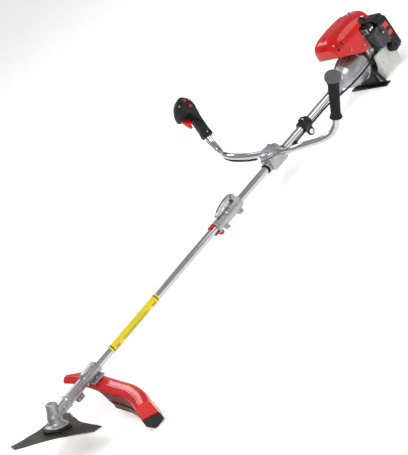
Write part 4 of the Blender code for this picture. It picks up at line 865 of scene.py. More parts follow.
def build_coupler():
    cast = blasted_casting()
    low, high = span("coupler_body")
    sleeve = [(low.x, 0.0), (low.x, 0.0175), (low.x + 0.002, 0.0190), (low.x + 0.014, 0.0192),
              (low.x + 0.016, 0.0182), (0.8700, 0.0182), (0.8740, 0.0200), (high.x - 0.006, 0.0200),
              (high.x, 0.0170), (high.x, 0.0)]
    body = turned("coupler_casting", cast, sleeve, ALONG, 64, rounding=0.0012)
    for start, end in ((0.8420, 0.8580), (0.9130, 0.9330)):
        join(body, block("lug", cast, (start, -0.0090, -0.0340), (end, 0.0090, -0.0140), 0.0035, 4))
    join(body, block("deck", cast, (0.8900, -0.0150, 0.0100), (0.9420, 0.0150, 0.0205), 0.0035, 4))
    join(body, block("spine", cast, (0.8560, -0.0035, -0.0230), (0.9160, 0.0035, -0.0150), 0.0012))
    for side in (-1, 1):
        inner, outer = sorted((side * 0.0088, side * 0.0138))
        join(body, block("ear", cast, (0.9180, inner, 0.0150), (0.9340, outer, 0.0385), 0.0022))
    seat = pivot_of_pin()
    join(body, rod("boss", cast, seat - Z_AXIS * 0.0140, seat - Z_AXIS * 0.0215, 0.0085))
    cut(body, rod("tube_bore", cast, (0.75, 0, 0), (1.0, 0, 0), TUBE_RADIUS + FIT, 56))
    cut(body, rod("pin_hole", cast, seat - Z_AXIS * 0.005, seat - Z_AXIS * 0.030, 0.0043, 24))
    cut(body, block("split", cast, (0.83, -0.0008, -0.040), (0.95, 0.0008, -0.010), 0.0))
    settle(body, "upper_unit", "cast_aluminium", "coupler_body")
    bolts = []
    for x in (0.850, 0.923):
        bolts += [socket_screw((x, -0.0088, -0.0265), -Y_AXIS, 0.0046),
                  hex_bolt((x, 0.0088, -0.0265), Y_AXIS, 0.0042)]
    hinge = pivot("coupler_lever_hinge")
    for side in (-1, 1):
        bolts.append(socket_screw(hinge + Y_AXIS * side * 0.0136, Y_AXIS * side, 0.0040, height=0.0024))
    settle(gather("coupler_screws", bolts), "upper_unit", "steel")

    arm = [(0.9325, 0.0265), (0.9340, 0.0395), (0.9200, 0.0430), (0.8900, 0.0425), (0.8620, 0.0370),
           (0.8390, 0.0270), (0.8360, 0.0225), (0.8440, 0.0205), (0.8640, 0.0270), (0.8880, 0.0320),
           (0.9160, 0.0325), (0.9205, 0.0265)]
    placed = placement(ORIGIN, Y_AXIS, X_AXIS)
    lever = slab("clamping_lever", cast, [(x, -z) for x, z in arm], placed, -0.0085, 0.0085, 0.0022, 0.004)
    hollow = [(0.9130, 0.0480), (0.9130, 0.0400), (0.8900, 0.0396), (0.8640, 0.0344), (0.8500, 0.0290),
              (0.8470, 0.0400)]
    cut(lever, slab("dish", cast, [(x, -z) for x, z in hollow], placed, -0.0055, 0.0055, 0.0, 0.002))
    settle(lever, "coupler_lever", "cast_aluminium", "coupler_lever")

    pin = [(0.0136, 0.0), (0.0136, 0.0040), (0.0219, 0.0040), (0.0219, 0.0095), (0.0240, 0.0105),
           (0.0270, 0.0103), (0.0310, 0.0080), (0.0325, 0.0040), (0.0325, 0.0)]
    settle(turned("release_knob", red_gloss(), pin, placement(seat, -Z_AXIS), 48, rounding=0.0012),
           "coupler_pin", "red_plastic", "coupler_pin")
    low, high = span("coupler_clip")
    ring = arc_points(40, 0.0190, 50.0, 310.0) + arc_points(40, TUBE_RADIUS + 0.0008, 50.0, 310.0)[::-1]
    clip = slab("red_clip", red_gloss(), ring, ALONG, low.x, high.x, 0.0012, 0.002)
    settle(clip, "lower_unit", "red_plastic", "coupler_clip")


def pivot_of_pin():
    low, high = span("coupler_pin")
    return Vector(((low.x + high.x) / 2.0, 0.0, 0.0))


# ---------------------------------------------------------------- handlebar

BAR_ROUTE = [
    (CLAMP.x, 0.036, CLAMP.z), (1.132, 0.095, 0.035), (1.122, 0.155, 0.048), (1.133, 0.205, 0.050),
    (1.155, 0.250, 0.043), (1.176, 0.290, 0.046), (1.189, 0.317, 0.064), (1.197, 0.332, 0.086),
]
GRIP_FOOT = Vector((1.197, 0.332, 0.086))
GRIP_TOP = Vector((1.234, 0.383, 0.205))
GRIP_AXIS = (GRIP_TOP - GRIP_FOOT).normalized()
BAR_START = Vector((CLAMP.x, 0.003, CLAMP.z))
BAR_STEPS = 8


def build_handlebar():
    radius = sizes().bar_radius
    bend = smooth_route(BAR_ROUTE, BAR_STEPS)
    right = [BAR_START, *bend, GRIP_FOOT + GRIP_AXIS * 0.070]
    left = [Vector((p.x, -p.y, p.z)) for p in [BAR_START, *bend, GRIP_FOOT + GRIP_AXIS * 0.130]]
    settle(pipe("right_bar", plated_bar(), right, radius, BAR_WALL, 36), "handlebar", "polished_tube",
           "handlebar_right")
    settle(pipe("left_bar", plated_bar(), left, radius, BAR_WALL, 36), "handlebar", "polished_tube",
           "handlebar_left")

    cast = blasted_casting()
    x, z = CLAMP.x, CLAMP.z
    base = block("bar_clamp_base", cast, (x - 0.037, -0.0300, -0.0210), (x + 0.037, 0.0300, z - 0.0004),
                 0.010, 6)
    collar = [(x - 0.046, 0.0), (x - 0.046, 0.0175), (x - 0.044, 0.0185), (x + 0.044, 0.0185),
              (x + 0.046, 0.0175), (x + 0.046, 0.0)]
    join(base, turned("collar", cast, collar, ALONG, 64))
    cut(base, rod("tube_bore", cast, (1.0, 0, 0), (1.3, 0, 0), TUBE_RADIUS + FIT, 56))
    cut(base, rod("bar_bore", cast, (x, -0.1, z), (x, 0.1, z), radius + BAR_FIT, 48))
    settle(base, "upper_unit", "cast_aluminium", "handlebar_clamp_base")
    dome = [(0.0004, 0.0), (0.0004, 0.0370), (0.0040, 0.0380), (0.0110, 0.0360), (0.0150, 0.0310),
            (0.0170, 0.0240), (0.0175, 0.0)]
    cap = turned("bar_clamp_cap", cast, dome, placement((x, 0, z), Z_AXIS), 72, rounding=0.004)
    corners = [(dx, y) for dx in (-0.023, 0.023) for y in (-0.015, 0.015)]
    for dx, y in corners:
        top = Vector((x + dx, y, z + 0.0300))
        cut(cap, rod("spot_face", cast, top - Z_AXIS * 0.0175, top, 0.0066, 32))
    cut(cap, rod("bar_bore", cast, (x, -0.1, z), (x, 0.1, z), radius + BAR_FIT, 48))
    settle(cap, "upper_unit", "cast_aluminium", "handlebar_clamp_cap")
    screws = [socket_screw((x + dx, y, z + 0.0125), Z_AXIS, 0.0050) for dx, y in corners]
    settle(gather("bar_clamp_screws", screws), "upper_unit", "steel")
    rings = []
    for side in (-1, 1):
        near, far = sorted((x + side * 0.0462, x + side * 0.0520))
        profile = [(near, TUBE_RADIUS + 0.0001), (near, 0.0170), (far, 0.0160), (far, TUBE_RADIUS + 0.0001)]
        rings.append(turned("damper", soft_rubber(), profile, ALONG, 56, True))
    settle(gather("clamp_dampers", rings), "upper_unit", "black_rubber")


def build_left_grip():
    foot = Vector((GRIP_FOOT.x, -GRIP_FOOT.y, GRIP_FOOT.z))
    axis = Vector((GRIP_AXIS.x, -GRIP_AXIS.y, GRIP_AXIS.z))
    bore = sizes().bar_radius + BAR_FIT
    profile = [(0.004, bore), (0.004, 0.0185), (0.006, 0.0205), (0.010, 0.0195), (0.020, 0.0158)]
    count = 14
    for i in range(count):
        base = 0.0230 + 0.0068 * i
        radius = 0.0155 + 0.0025 * i / count
        profile += [(base, radius), (base + 0.0044, radius + 0.0002), (base + 0.0050, radius - 0.0009),
                    (base + 0.0062, radius - 0.0009)]
    profile += [(0.122, 0.0200), (0.1285, 0.0215), (0.1295, 0.0100), (0.1295, bore)]
    grip = turned("ribbed_grip", soft_rubber(), profile, placement(foot, axis), 56, True, 0.0004)
    knob = [(0.1302, 0.0), (0.1302, 0.0240), (0.1350, 0.0262), (0.1440, 0.0265), (0.1520, 0.0250),
            (0.1580, 0.0205), (0.1620, 0.0130), (0.1630, 0.0)]
    # The end knob takes the lighter rubber, which is painted highlight.
    end = turned("grip_end", pale_rubber(), knob, placement(foot, axis), 56, rounding=0.002)
    settle(gather("left_hand_grip", [grip, end]), "handlebar", "black_rubber", "left_grip")


HANDLE = placement(GRIP_FOOT, GRIP_AXIS, -X_AXIS)
SIDEWAYS = Matrix(((1, 0, 0, 0), (0, 0, 1, 0), (0, 1, 0, 0), (0, 0, 0, 1)))


def handle_point(forward, side, up):
    return HANDLE @ Vector((forward, side, up))


def side_slab(name, look, outline, low, high, bevel=0.0, rounding=0.0):
    return slab(name, look, outline, HANDLE @ SIDEWAYS, low, high, bevel, rounding)


def waves(count, x, low, high, depth):
    """A wavy stretch of outline: count shallow finger ridges between two heights."""
    steps = 8 * count
    heights = [low + (high - low) * i / steps for i in range(steps + 1)]
    return [(x + depth * math.cos(math.tau * count * i / steps), h) for i, h in enumerate(heights)]


BUTTONS = {"stop_switch": (0.006, 0.152), "start_lock_button": (-0.002, 0.126)}


def handle_outline():
    back = waves(5, -0.0168, 0.034, 0.064, 0.0006)
    front = waves(5, 0.0168, 0.084, 0.034, -0.0010)
    head = soften([(-0.0165, 0.068), (-0.0180, 0.100), (-0.0230, 0.122), (-0.0210, 0.142), (-0.0090, 0.160),
                   (0.0100, 0.172), (0.0280, 0.166), (0.0470, 0.148), (0.0600, 0.124), (0.0640, 0.104),
                   (0.0600, 0.094), (0.0500, 0.092), (0.0180, 0.098), (0.0167, 0.088)], 0.0090, False, 5)
    foot = [(0.0165, 0.030), (0.0190, 0.012), (0.0170, 0.004), (-0.0170, 0.004), (-0.0190, 0.012),
            (-0.0165, 0.030)]
    return [*back, *head, *front, *soften(foot, 0.003, False, 3)]


def build_right_handle():
    dark = black_moulding()
    radius = sizes().bar_radius + BAR_FIT
    for name, face, node in (("inner_shell", 1, "handle_shell_inner"),
                             ("outer_shell", -1, "handle_shell_outer")):
        rings = []
        flat = handle_outline()
        for step in range(6):
            turn = math.pi / 2 * step / 5
            across = 0.0185 - 0.0080 * (1 - math.sin(turn))
            shrink = 0.0080 * (1 - math.cos(turn))
            rings.append(inset(flat, shrink, across * face))
        rings.insert(0, [Vector((x, y, face * 0.00015)) for x, y in flat])
        shell = object_from(name, skin(rings), dark, HANDLE @ SIDEWAYS)
        cut(shell, rod("bar_bore", dark, handle_point(0, 0, -0.02), handle_point(0, 0, 0.0705), radius, 40))
        slot = [(0.0120, 0.085), (0.0120, 0.122), (0.0520, 0.122), (0.0700, 0.060)]
        cut(shell, side_slab("trigger_slot", dark, slot, -0.0058, 0.0058))
        slot = [(-0.0300, 0.0735), (-0.0095, 0.0735), (-0.0020, 0.090), (-0.0020, 0.115), (-0.0300, 0.115)]
        cut(shell, side_slab("lockout_slot", dark, slot, -0.0050, 0.0050))
        if face > 0:
            for forward, up in BUTTONS.values():
                cut(shell, rod("hole", dark, handle_point(forward, 0.0110, up),
                               handle_point(forward, 0.03, up), 0.0064, 32))
        settle(shell, "handlebar", "black_plastic", node)
    screws = []
    sideways = HANDLE.to_3x3().col[1]
    for forward, up in ((0.036, 0.142), (-0.012, 0.148), (0.0, 0.020)):
        screws.append(socket_screw(handle_point(forward, 0.0180, up), sideways, 0.0034, height=0.0014))
    screws.append(hex_bolt(handle_point(-0.0186, 0.0, 0.014), -HANDLE.to_3x3().col[0], 0.0040))
    settle(gather("handle_screws", screws), "handlebar", "steel")

    trigger = [(0.0180, 0.0980), (0.0200, 0.1140), (0.0440, 0.1160), (0.0545, 0.1000), (0.0500, 0.0860),
               (0.0380, 0.0620), (0.0325, 0.0560), (0.0300, 0.0620), (0.0260, 0.0780)]
    piece = side_slab("trigger_blade", red_gloss(), trigger, -0.0052, 0.0052, 0.0018, 0.005)
    settle(piece, "throttle_trigger", "red_plastic", "throttle_trigger")
    lockout = [(-0.0105, 0.0750), (-0.0150, 0.0745), (-0.0220, 0.0860), (-0.0255, 0.1060), (-0.0220, 0.1105),
               (-0.0150, 0.1090), (-0.0115, 0.0900)]
    piece = side_slab("lockout_paddle", red_gloss(), lockout, -0.0045, 0.0045, 0.0014, 0.003)
    settle(piece, "lockout_lever", "red_plastic", "lockout_lever")
    for name, (forward, up) in BUTTONS.items():
        knob = [(0.0145, 0.0), (0.0145, 0.0060), (0.0205, 0.0060), (0.0222, 0.0045), (0.0215, 0.0036),
                (0.0215, 0.0)]
        placed = placement(handle_point(forward, 0.0, up), sideways, GRIP_AXIS)
        settle(turned(name + "_cap", red_gloss(), knob, placed, 40), name, "red_plastic", name)


def inset(outline, distance, height):
    """The outline moved inwards by a distance, at a height; it keeps its point count."""
    count = len(outline)
    area = sum(outline[i - 1][0] * outline[i][1] - outline[i][0] * outline[i - 1][1] for i in range(count))
    sign = 1.0 if area > 0 else -1.0
    moved = []
    for i, here in enumerate(outline):
        run = Vector(outline[(i + 2) % count]) - Vector(outline[i - 2])
        inward = Vector((-run.y, run.x)).normalized() * sign
        moved.append(Vector((*(Vector(here) + inward * distance), height)))
    return moved


# ---------------------------------------------------------------- cable and hanger


def cable_seat():
    """Where the throttle cable lies against the shaft, seen along it."""
    reach = TUBE_RADIUS + sizes().cable_radius + CABLE_CLEARANCE
    turn = math.radians(CABLE_TURN)
    return -reach * math.sin(turn), -reach * math.cos(turn)


def build_cable():
    radius = sizes().cable_radius
    rubber = soft_rubber()
    bend = smooth_route(BAR_ROUTE, BAR_STEPS)
    bend = [bend[0].lerp(bend[BAR_STEPS], 0.5), *bend[BAR_STEPS:]]
    under = Vector((-0.36, 0.0, -0.93))
    reach = sizes().bar_radius + radius + 0.0010
    bar = []
    for before, point, after in zip([BAR_START, *bend], bend, [*bend[1:], GRIP_FOOT + GRIP_AXIS * 0.01]):
        ahead = (after - before).normalized()
        bar.append(point + (under - ahead * under.dot(ahead)).normalized() * reach)
    settle(pipe("cable_on_bar", rubber, bar, radius, 0.0, 20), "handlebar", "black_rubber",
           "throttle_cable_bar")

    y, z = cable_seat()
    x = CLAMP.x
    route = [(x - 0.0040, 0.0490, 0.0110), (x + 0.010, 0.0400, -0.0040), (x + 0.030, 0.0340, -0.0180),
             (x + 0.050, 0.0180, -0.0260), (x + 0.078, -0.0020, -0.0215), (x + 0.105, y, z), (1.300, y, z),
             (1.360, y, z), (1.420, y, z), (1.455, -0.0150, -0.0140), (1.485, -0.0260, -0.0150),
             (1.520, -0.0440, -0.0140), (1.555, -0.0590, -0.0100), (1.590, -0.0690, -0.0060),
             (1.622, -0.0745, -0.0020), (1.648, -0.0740, 0.0020), (1.6660, -0.0690, 0.0050)]
    pieces = [pipe("cable", rubber, smooth_route(route, 8), radius, 0.0, 20)]
    thick = sizes().sleeve_radius

    def sleeve(share):
        return radius + (thick - radius) * min(1.0, 14.0 * min(share, 1.0 - share) + 0.25)

    pieces.append(pipe("sleeve", rubber, smooth_route(route[3:6], 10), sleeve, 0.0, 24))
    settle(gather("cable_on_shaft", pieces), "upper_unit", "black_rubber", "throttle_cable_tube")


def build_hanger():
    dark = black_moulding()
    low, high = span("harness_hanger")
    x = (low.x + high.x) / 2.0
    y, z = cable_seat()
    band = [(x - 0.021, 0.0), (x - 0.021, 0.0195), (x - 0.018, 0.0210), (x - 0.007, 0.0210),
            (x - 0.006, 0.0200), (x + 0.006, 0.0200), (x + 0.007, 0.0210), (x + 0.018, 0.0210),
            (x + 0.021, 0.0195), (x + 0.021, 0.0)]
    hanger = turned("harness_clamp", dark, band, ALONG, 64)
    eye_x, eye_z = x + 0.006, -0.0345
    arc = [(px, -eye_z - 0.0005 - py) for px, py in arc_points(24, 0.0135, 180.0, 360.0)]
    plate = [(eye_x + px, down) for px, down in [(-0.0150, 0.015), (-0.0140, 0.030), *arc, (0.0140, 0.030),
                                                 (0.0150, 0.015)]]
    join(hanger, slab("eye", dark, plate, placement(ORIGIN, Y_AXIS, X_AXIS), -0.0035, 0.0035, 0.0012),
         "MANIFOLD")
    join(hanger, block("pad", dark, (x - 0.010, -0.006, 0.016), (x + 0.010, 0.006, 0.0260), 0.002),
         "MANIFOLD")
    cut(hanger, rod("tube_bore", dark, (1.2, 0, 0), (1.45, 0, 0), TUBE_RADIUS + FIT, 56), "MANIFOLD")
    cut(hanger, rod("cable_way", dark, (1.2, y, z), (1.45, y, z), 0.0040, 24), "MANIFOLD")
    cut(hanger, rod("eye_hole", dark, (eye_x, -0.02, eye_z), (eye_x, 0.02, eye_z), 0.0066, 40), "MANIFOLD")
    bush = [(-0.0040, 0.0062), (-0.0040, 0.0086), (-0.0034, 0.0086), (-0.0034, 0.0066), (0.0034, 0.0066),
            (0.0034, 0.0086), (0.0040, 0.0086), (0.0040, 0.0062)]
    lined = turned("bush", bright_steel(), bush, placement((eye_x, 0, eye_z), Y_AXIS), 48, True, 0.0002)
    screw = socket_screw((x, -0.0058, 0.0212), -Y_AXIS, 0.0036)
    settle(gather("harness_carrier", [hanger, lined, screw]), "harness_hanger", "black_plastic",
           "harness_hanger")


# ---------------------------------------------------------------- engine


def build_clutch_side():
    cast = blasted_casting()
    start = span("clutch_housing")[0].x
    outer = [(start, 0.0185), (start + 0.003, 0.0200), (1.5400, 0.0210), (1.5480, 0.0265), (1.5560, 0.0360),
             (1.5720, 0.0470), (1.6000, 0.0550), (1.6300, 0.0590), (1.6310, 0.0635), (1.6430, 0.0640)]
    inner = [(1.6430, 0.0570), (1.6000, 0.0510), (1.5720, 0.0430), (1.5600, 0.0330), (1.5510, 0.0200),
             (1.5480, TUBE_RADIUS + FIT), (start, TUBE_RADIUS + FIT)]
    housing = turned("clutch_bell", cast, outer + inner, ALONG, 96, True, 0.0030)
    join(housing, block("clamp_lug", cast, (1.5060, -0.0080, -0.0330), (1.5300, 0.0080, -0.0160), 0.0035, 4))
    for i in range(8):
        turn = Matrix.Rotation(math.radians(22.5 + 45 * i), 4, "X")
        rib = [(1.5440, 0.0225), (1.5560, 0.0375), (1.5720, 0.0490), (1.6000, 0.0572), (1.6290, 0.0610),
               (1.6290, 0.0560), (1.6000, 0.0530), (1.5720, 0.0450), (1.5600, 0.0340), (1.5500, 0.0230)]
        placed = turn @ placement(ORIGIN, -Y_AXIS, X_AXIS)
        join(housing, slab("rib", cast, rib, placed, -0.0018, 0.0018, 0.0006))
    settle(housing, "upper_unit", "cast_aluminium", "clutch_housing")
    screws = [hex_bolt((1.5180, -0.0078, -0.0255), -Y_AXIS, 0.0044),
              socket_screw((1.5180, 0.0078, -0.0255), Y_AXIS, 0.0040)]
    for i in range(4):
        a = math.radians(45 + 90 * i)
        spot = Vector((1.6310, 0.0612 * math.cos(a), 0.0612 * math.sin(a)))
        screws.append(socket_screw(spot, -X_AXIS, 0.0030, height=0.0040))
    settle(gather("clutch_bell_screws", screws), "upper_unit", "steel")
    grommet = [(start - 0.0080, TUBE_RADIUS + 0.0001), (start - 0.0080, 0.0165), (start - 0.0004, 0.0182),
               (start - 0.0004, TUBE_RADIUS + 0.0001)]
    settle(turned("socket_grommet", soft_rubber(), grommet, ALONG, 56, True), "upper_unit", "black_rubber")


# Where the spark plug stands in the cylinder, the way it points, and where its lead enters the coil
PLUG_FOOT = Vector((CRANK_X + 0.010, -0.006, 0.104))
PLUG_AXIS = Vector((0.74, -0.46, 0.49)).normalized()
LEAD_END = Vector((1.7150, -0.0660, 0.1000))
FIN_PITCH = 0.0090


def build_cylinder():
    cast = blasted_casting()
    middle = CRANK_X
    base, top = span("cylinder")[0].z, 0.1150
    profile = [(base, 0.0), (base, 0.0260), (base + 0.0040, 0.0260), (base + 0.0040, 0.0235)]
    for i in range(6):
        z = base + FIN_PITCH + FIN_PITCH * i
        profile += [(z, 0.0235), (z, 0.0300), (z + 0.0024, 0.0300), (z + 0.0024, 0.0235)]
    profile += [(top - 0.004, 0.0235), (top, 0.0180), (top, 0.0)]
    piece = turned("finned_cylinder", cast, profile, placement((middle, 0, 0), Z_AXIS), 56)
    join(piece, block("intake", cast, (middle - 0.016, -0.0400, 0.0560), (middle + 0.016, -0.018, 0.0760)))
    join(piece, block("exhaust", cast, (middle - 0.018, 0.018, 0.0600), (middle + 0.018, 0.0420, 0.0840)))
    join(piece, rod("plug_seat", cast, PLUG_FOOT, PLUG_FOOT + PLUG_AXIS * 0.0200, 0.0100, 40))
    cut(piece, rod("bore", cast, (middle, 0, 0.030), (middle, 0, 0.0990), 0.0193, 56))
    settle(piece, "upper_unit", "cast_aluminium", "cylinder")

    plug = [(0.0203, 0.0), (0.0203, 0.0090), (0.0280, 0.0090), (0.0280, 0.0060), (0.0320, 0.0058),
            (0.0420, 0.0045), (0.0460, 0.0030), (0.0460, 0.0)]
    placed = placement(PLUG_FOOT, PLUG_AXIS)
    settle(turned("plug_body", glazed(), plug, placed, 40), "upper_unit", "ceramic", "spark_plug")
    boot = [(0.0290, 0.0), (0.0290, 0.0095), (0.0310, 0.0105), (0.0350, 0.0105), (0.0360, 0.0098),
            (0.0380, 0.0098), (0.0390, 0.0104), (0.0490, 0.0100), (0.0540, 0.0070), (0.0550, 0.0)]
    cover = turned("boot", soft_rubber(), boot, placed, 48, rounding=0.0010)
    cut(cover, rod("plug_room", soft_rubber(), PLUG_FOOT, PLUG_FOOT + PLUG_AXIS * 0.0465, 0.0064, 32))
    tip = PLUG_FOOT + PLUG_AXIS * 0.0500
    lead = [tip, tip + Vector((0.006, -0.012, -0.001)), (1.7290, -0.0560, 0.1180), (1.7240, -0.0640, 0.1070),
            LEAD_END]
    parts = [cover, pipe("lead", soft_rubber(), smooth_route(lead, 8), 0.0034, 0.0, 20)]
    settle(gather("plug_cap_and_lead", parts), "upper_unit", "black_rubber", "plug_boot")


# Along the shaft: x, half width, top, foot
SHROUD_STATIONS = [
    (1.5590, 0.0500, 0.126, 0.084), (1.5650, 0.0590, 0.140, 0.082), (1.5850, 0.0655, 0.150, 0.072),
    (1.6200, 0.0690, 0.154, 0.052), (1.6600, 0.0700, 0.154, 0.036), (1.7100, 0.0675, 0.150, 0.040),
    (1.7570, 0.0620, 0.139, 0.046),
]


def hump(name, look, stations, shrink, count=40):
    """A rounded hood: each section is a superellipse arch over a flat foot."""
    rings = []
    for x, half, top, foot in stations:
        half, top = half - shrink, top - shrink
        ring = []
        for i in range(count + 1):
            a = math.pi * i / count
            across = math.copysign(abs(math.cos(a)) ** 0.62, math.cos(a))
            ring.append(Vector((x, half * across, foot + (top - foot) * math.sin(a) ** 0.62)))
        rings.append(ring)
    return object_from(name, skin(rings), look)


def smooth_stations(stations, steps):
    first = smooth_route([station[:3] for station in stations], steps)
    second = smooth_route([(station[3], 0.0, 0.0) for station in stations], steps)
    return [(a.x, a.y, a.z, b.x) for a, b in zip(first, second)]


def build_shroud():
    red = red_gloss()
    stations = smooth_stations(SHROUD_STATIONS, 4)
    nose = SHROUD_STATIONS[0]
    rounded_nose = [(nose[0] - 0.0024, 0.70 * nose[1], nose[2] - 0.007, nose[3] + 0.004),
                    (nose[0] - 0.0014, 0.90 * nose[1], nose[2] - 0.003, nose[3] + 0.001)]
    shroud = hump("engine_hood", red, [*rounded_nose, *stations], 0.0)
    inside = [(x, half, top, foot - 0.010) for x, half, top, foot in stations]
    inside[0] = (nose[0] + HOOD_WALL, *inside[0][1:])
    inside.append((1.7700, 0.0600, 0.1320, 0.0280))
    cut(shroud, hump("room", red, inside, HOOD_WALL), "MANIFOLD")
    cut(shroud, block("rear_left", red, (1.6780, -0.0900, -0.02), (1.8000, -0.0300, 0.1080), 0.010, 5),
        "MANIFOLD")
    cut(shroud, block("plug_way", red, (1.7020, -0.0900, 0.0950), (1.7450, -0.0460, 0.1290), 0.008, 5),
        "MANIFOLD")
    cut(shroud, block("muffler_way", red, (1.6340, 0.0300, -0.02), (1.7180, 0.1100, 0.1140), 0.008, 5),
        "MANIFOLD")
    for side in (-1, 1):
        for i in range(4):
            x = 1.5660 + 0.0120 * i
            low, high = sorted((side * 0.1000, side * 0.0300))
            cut(shroud, block("vent", red, (x, low, 0.1040), (x + 0.0055, high, 0.1270), 0.0018), "MANIFOLD")
    settle(shroud, "upper_unit", "red_plastic", "engine_shroud")
    ridge = [(x, 0.0, top - 0.0006) for x, _, top, _ in stations[6:22]]
    strips = [pipe("ridge", red, [Vector(p) + Y_AXIS * y - Z_AXIS * drop for p in ridge], 0.0028, 0.0, 20)
              for y, drop in ((-0.024, 0.0016), (0.0, 0.0), (0.024, 0.0016))]
    settle(gather("hood_ridges", strips), "upper_unit", "red_plastic")
    screws = [socket_screw((1.6030, -0.0672, 0.0800), -Y_AXIS, 0.0036),
              socket_screw((1.6600, -0.0693, 0.0560), -Y_AXIS, 0.0036),
              socket_screw((1.7380, 0.0, 0.1440), Z_AXIS, 0.0036)]
    settle(gather("hood_screws", screws), "upper_unit", "steel")


def build_fan_and_starter():
    low, high = span("fan_housing")
    shell = [(low.x, 0.0300), (low.x, 0.0680), (low.x + 0.003, 0.0710), (high.x, 0.0710), (high.x, 0.0680),
             (low.x + 0.003, 0.0660), (low.x + 0.0025, 0.0300)]
    housing = turned("fan_shell", grey_moulding(), shell, ALONG, 96, True)
    for i in range(18):
        turn = Matrix.Rotation(math.tau * i / 18, 4, "X")
        join(housing, block("rib", grey_moulding(), (low.x + 0.006, -0.0016, 0.0700),
                            (high.x - 0.004, 0.0016, 0.0728), 0.0006, 2, turn), "MANIFOLD")
    settle(housing, "upper_unit", "grey_plastic", "fan_housing")

    dark = black_moulding()
    low, high = span("starter_housing")

    def rounded(shrink):
        left, right, floor, roof = low.y + shrink, high.y - shrink, low.z + shrink, high.z - shrink
        return soften([(right, floor), (right, roof), (left, roof), (left, floor)], 0.027 - shrink, True, 10)

    case = slab("starter_case", dark, rounded(0.0), ACROSS, low.x, high.x, 0.007)
    cut(case, slab("room", dark, rounded(CASE_WALL), ACROSS, low.x - 0.02, high.x - 0.004, 0.0))
    cut(case, rod("rope_hole", dark, (1.7830, 0.050, 0.030), (1.7830, 0.10, 0.030), 0.0030, 24))
    ring = [(high.x - 0.0010, 0.0), (high.x - 0.0010, 0.0440), (high.x + 0.0015, 0.0440),
            (high.x + 0.0015, 0.0400), (high.x - 0.0006, 0.0390), (high.x - 0.0006, 0.0)]
    join(case, turned("recoil_ring", dark, ring, ALONG, 72))
    for i in range(12):
        turn = Matrix.Rotation(math.tau * i / 12, 4, "X")
        cut(case, block("slot", dark, (high.x - 0.020, -0.0026, 0.0200), (high.x + 0.02, 0.0026, 0.0360),
                        0.0015, 2, turn))
    settle(case, "upper_unit", "black_plastic", "starter_housing")
    panels = []
    red = film_of("red_film", scaled(tint("red"), 1.25))
    for z, wide, tall in ((0.036, 0.030, 0.018), (0.006, 0.030, 0.016)):
        panels.append(block("panel", red, (low.x + 0.009, low.y - 0.0004, z),
                            (low.x + 0.009 + wide, low.y, z + tall), 0.0001, 1))
    settle(gather("case_panels", panels), "upper_unit", "red_plastic")
    screws = []
    for y, z in ((-0.054, 0.068), (0.054, 0.068), (-0.054, -0.044), (0.054, -0.044)):
        screws.append(socket_screw((high.x - 0.0004, y, z), X_AXIS, 0.0036, height=0.0018))
    settle(gather("case_screws", screws), "upper_unit", "steel")

    low, high = span("starter_grip")
    grip = block("pull_grip", dark, low, high, 0.0065, 6)
    for side in (-1, 1):
        z = (low.z + high.z) / 2 + side * 0.011
        cut(grip, rod("finger_dip", dark, (low.x - 0.01, high.y + 0.0015, z),
                      (high.x + 0.01, high.y + 0.0015, z), 0.0045, 24))
    settle(grip, "starter_grip", "black_plastic", "starter_grip")


def build_fuel_system():
    tank_low, tank_high = span("fuel_tank")
    milky = milky_plastic()

    def saddle(shrink):
        inner = 0.0770 + shrink
        half, low, top = 0.0900 - shrink, -0.0930 + shrink, 0.0040 - shrink
        arc = arc_points(41, inner, -4.0, -176.0)
        outer = [(-half, top), (-half, -0.060), (-half + 0.010, -0.083), (-half + 0.026, low),
                 (half - 0.026, low), (half - 0.010, -0.083), (half, -0.060), (half, top)]
        outside = soften([(-inner, top), *outer, (inner, top)], 0.0080, False, 5)[1:-1]
        return [*arc, (-inner, top - 0.0005), *outside, (inner, top - 0.0005)]

    tank = slab("milky_tank", milky, saddle(0.0), ACROSS, tank_low.x, tank_high.x, 0.004)
    neck = [(-0.001, 0.0), (-0.001, 0.0135), (0.0060, 0.0135), (0.0060, 0.0)]
    join(tank, turned("neck", milky, neck, placement(CAP_AT, -Y_AXIS), 48))
    middle = (tank_low.x + tank_high.x) / 2
    join(tank, slab("seam", milky, saddle(-0.0012), ACROSS, middle - 0.0010, middle + 0.0010, 0.0004),
         "MANIFOLD")
    cut(tank, slab("room", milky, saddle(TANK_WALL), ACROSS, tank_low.x + 0.003, tank_high.x - 0.003, 0.0))
    cut(tank, rod("filler", milky, CAP_AT + Y_AXIS * 0.010, CAP_AT - Y_AXIS * 0.020, 0.0100, 40))
    settle(tank, "upper_unit", "tank_plastic", "fuel_tank")

    dark = black_moulding()
    profile = [(-0.0020, 0.0), (-0.0020, 0.0090), (0.0064, 0.0090), (0.0064, 0.0140), (0.0020, 0.0140),
               (0.0020, 0.0172), (0.0180, 0.0172), (0.0235, 0.0168), (0.0250, 0.0150), (0.0250, 0.0100),
               (0.0235, 0.0090), (0.0235, 0.0)]
    rings = []
    for height, radius in soften(profile, 0.0006):
        if radius < 1e-7:
            rings.append([Vector((0, 0, height))])
            continue
        depth = 0.0009 / radius if radius > 0.0165 and height > 0.0025 else 0.0
        ring = []
        for i, p in enumerate(circle(radius, 0.0, 96)):
            ring.append(p * (1 - depth * (0.5 + 0.5 * math.cos(math.tau * 16 * i / 96))) + Z_AXIS * height)
        rings.append(ring)
    placed = placement(CAP_AT, -Y_AXIS)
    cap = object_from("cap", skin(rings), dark, placed)
    bar = block("thumb_bar", dark, (-0.0120, -0.0018, 0.0238), (0.0120, 0.0018, 0.0262), 0.0006, 2, placed)
    settle(gather("filler_cap", [cap, bar]), "fuel_cap", "black_plastic", "fuel_cap")


